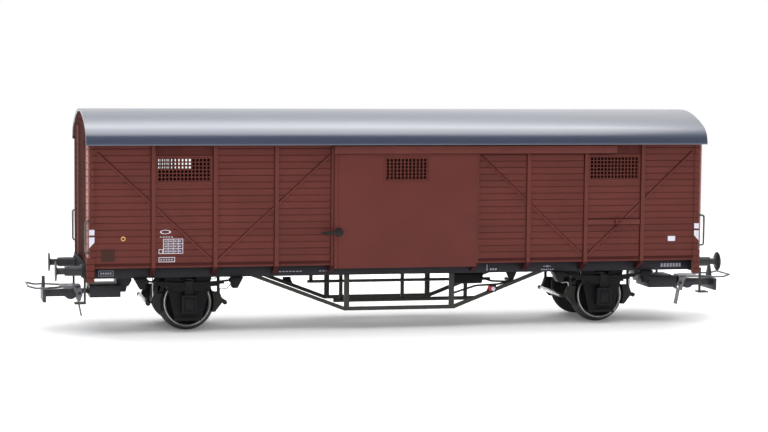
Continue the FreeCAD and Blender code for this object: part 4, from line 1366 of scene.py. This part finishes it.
def dashes(low, high, count, front=face_y, gap=0.4):
    """A row of small patches that share a length evenly."""
    pitch = (high[0] - low[0]) / count
    return [patch((low[0] + pitch * step, low[1]),
                  (low[0] + pitch * (step + 1 - gap), high[1]), front)
            for step in range(count)]


def at(along, up):
    """A point on the near wall, from its lower left corner."""
    return wall_low.x + along, wall_low.z + up


def on_sole(along, up):
    """A point on the solebar, from the wall's left end and the solebar's lower edge."""
    return wall_low.x + along, sole_low.z + up


# %% Load table
rule, cell, columns, rows = 0.12, 1.1, 4, 3
left, foot = 16.5, 3.1
right_end, head_up = left + columns * cell, foot + rows * cell
white = [outline(at(left, foot), at(right_end, head_up)),
         outline(at(15.5, 3.1), at(16.4, 4.1)), outline(at(15.5, 1.25), at(19.1, 2.35)),
         patch(at(134.3, 4.5), at(136.1, 5.65))]
for up in (foot + row * cell for row in range(1, rows)):
    white.append(patch(at(left + rule, up - rule / 2), at(right_end - rule, up + rule / 2)))
for x in (left + column * cell for column in range(1, columns)):
    white.append(patch(at(x - rule / 2, foot + rule), at(x + rule / 2, head_up - rule)))
white += dashes(at(15.8, 6.75), at(18.9, 6.9), 5)
grey = dashes(at(15.9, 1.6), at(18.8, 2.0), 5)
for up in (foot + row * cell + 0.35 for row in range(rows)):
    grey += dashes(at(left + 0.3, up), at(right_end, up + 0.4), columns)

# %% Marks on the solebar
sole_y = sole_low.y
grey.append(outline(on_sole(2.6, 0.55), on_sole(5.9, 1.8), sole_y, 0.1))
# columns: lower left corner, upper right corner, count
for low, high, count in (((3.0, 0.95), (5.6, 1.4), 5), ((43.0, 0.9), (48.5, 1.1), 7),
                         ((52.2, 0.9), (54.6, 1.1), 3), ((92.3, 0.55), (94.1, 1.0), 3),
                         ((104.6, 0.4), (107.8, 0.65), 6), ((105.1, 1.2), (107.3, 1.35), 2),
                         ((133.9, 0.7), (139.1, 1.55), 7)):
    grey += dashes(on_sole(*low), on_sole(*high), count, sole_y, gap=0.3)
grey.append(patch(on_sole(91.5, 0.4), on_sole(91.7, 1.9), sole_y))
grey.append(patch(on_sole(105.9, 1.05), on_sole(106.4, 1.5), sole_y))

# %% Corner flags
flag_foot, flag_top, square_foot, square_top = 19.4, 21.8, 22.25, 23.45
flag_in, flag_wid, flag_slope = 0.62, 1.18, 1.3
front = corner_low.y
for sign in (-1, 1):
    low, high = sorted(sign * (corner_high.x - inset)
                       for inset in (flag_in, flag_in + flag_wid))
    white.append(patch((low, square_foot), (high, square_top), front))
    flag = block("flag", (low, front - film, flag_foot), (high, front + rooted, flag_top))
    shift(flag, lambda v: v.co.z < flag_foot + 0.6 and abs(v.co.x) < corner_high.x - 1,
          (0, 0, flag_slope))
    white.append(flag)
for colour, group in (("white", white), ("grey", grey)):
    finish_pair(joined("marks_%s_near" % colour, group), "chassis", "print_" + colour,
                "body_brown", edge=0)

# %% Ring, oval and dark plate
def ring(name, centre, radius, line, widened=1.0):
    """A printed ring on the near wall, whose width is its height times `widened`."""
    x, z = centre
    inner = radius - line
    section = ((inner, film), (radius, film), (radius, -rooted), (inner, -rooted),
               (inner, film))
    piece = lathe(name, [(x + across, face_y - out, z) for across, out in section],
                  (x, 0, z), (0, 1, 0), 36)
    swell(piece, anything, (x, 0, z), (widened, 1, 1))
    return piece


for piece, material in (
        (ring("ring_near", at(7.7, 6.5), 0.5, 0.19), "print_yellow"),
        (ring("oval_near", at(17.0, 7.93), 0.46, 0.1, widened=2.6), "print_white"),
        (patch(at(2.9, 1.55), at(5.8, 4.25), thick=0.1, name="dark_plate_near"),
         "plate_dark")):
    finish_pair(piece, "chassis", material, "body_brown", edge=0)

# %% Sizes and the end
sizes = {"cad": cad_bounds, "visual": [list(corner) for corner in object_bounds()]}
for label, (low, high) in sizes.items():
    print("%-7s" % label, " x ".join("%.2f" % ((high[i] - low[i]) / MM) for i in range(3)),
          "mm")
triangles = {piece.name: sum(len(face.vertices) - 2 for face in piece.data.polygons)
             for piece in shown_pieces()}
print(len(triangles), "pieces,", sum(triangles.values()), "triangles")
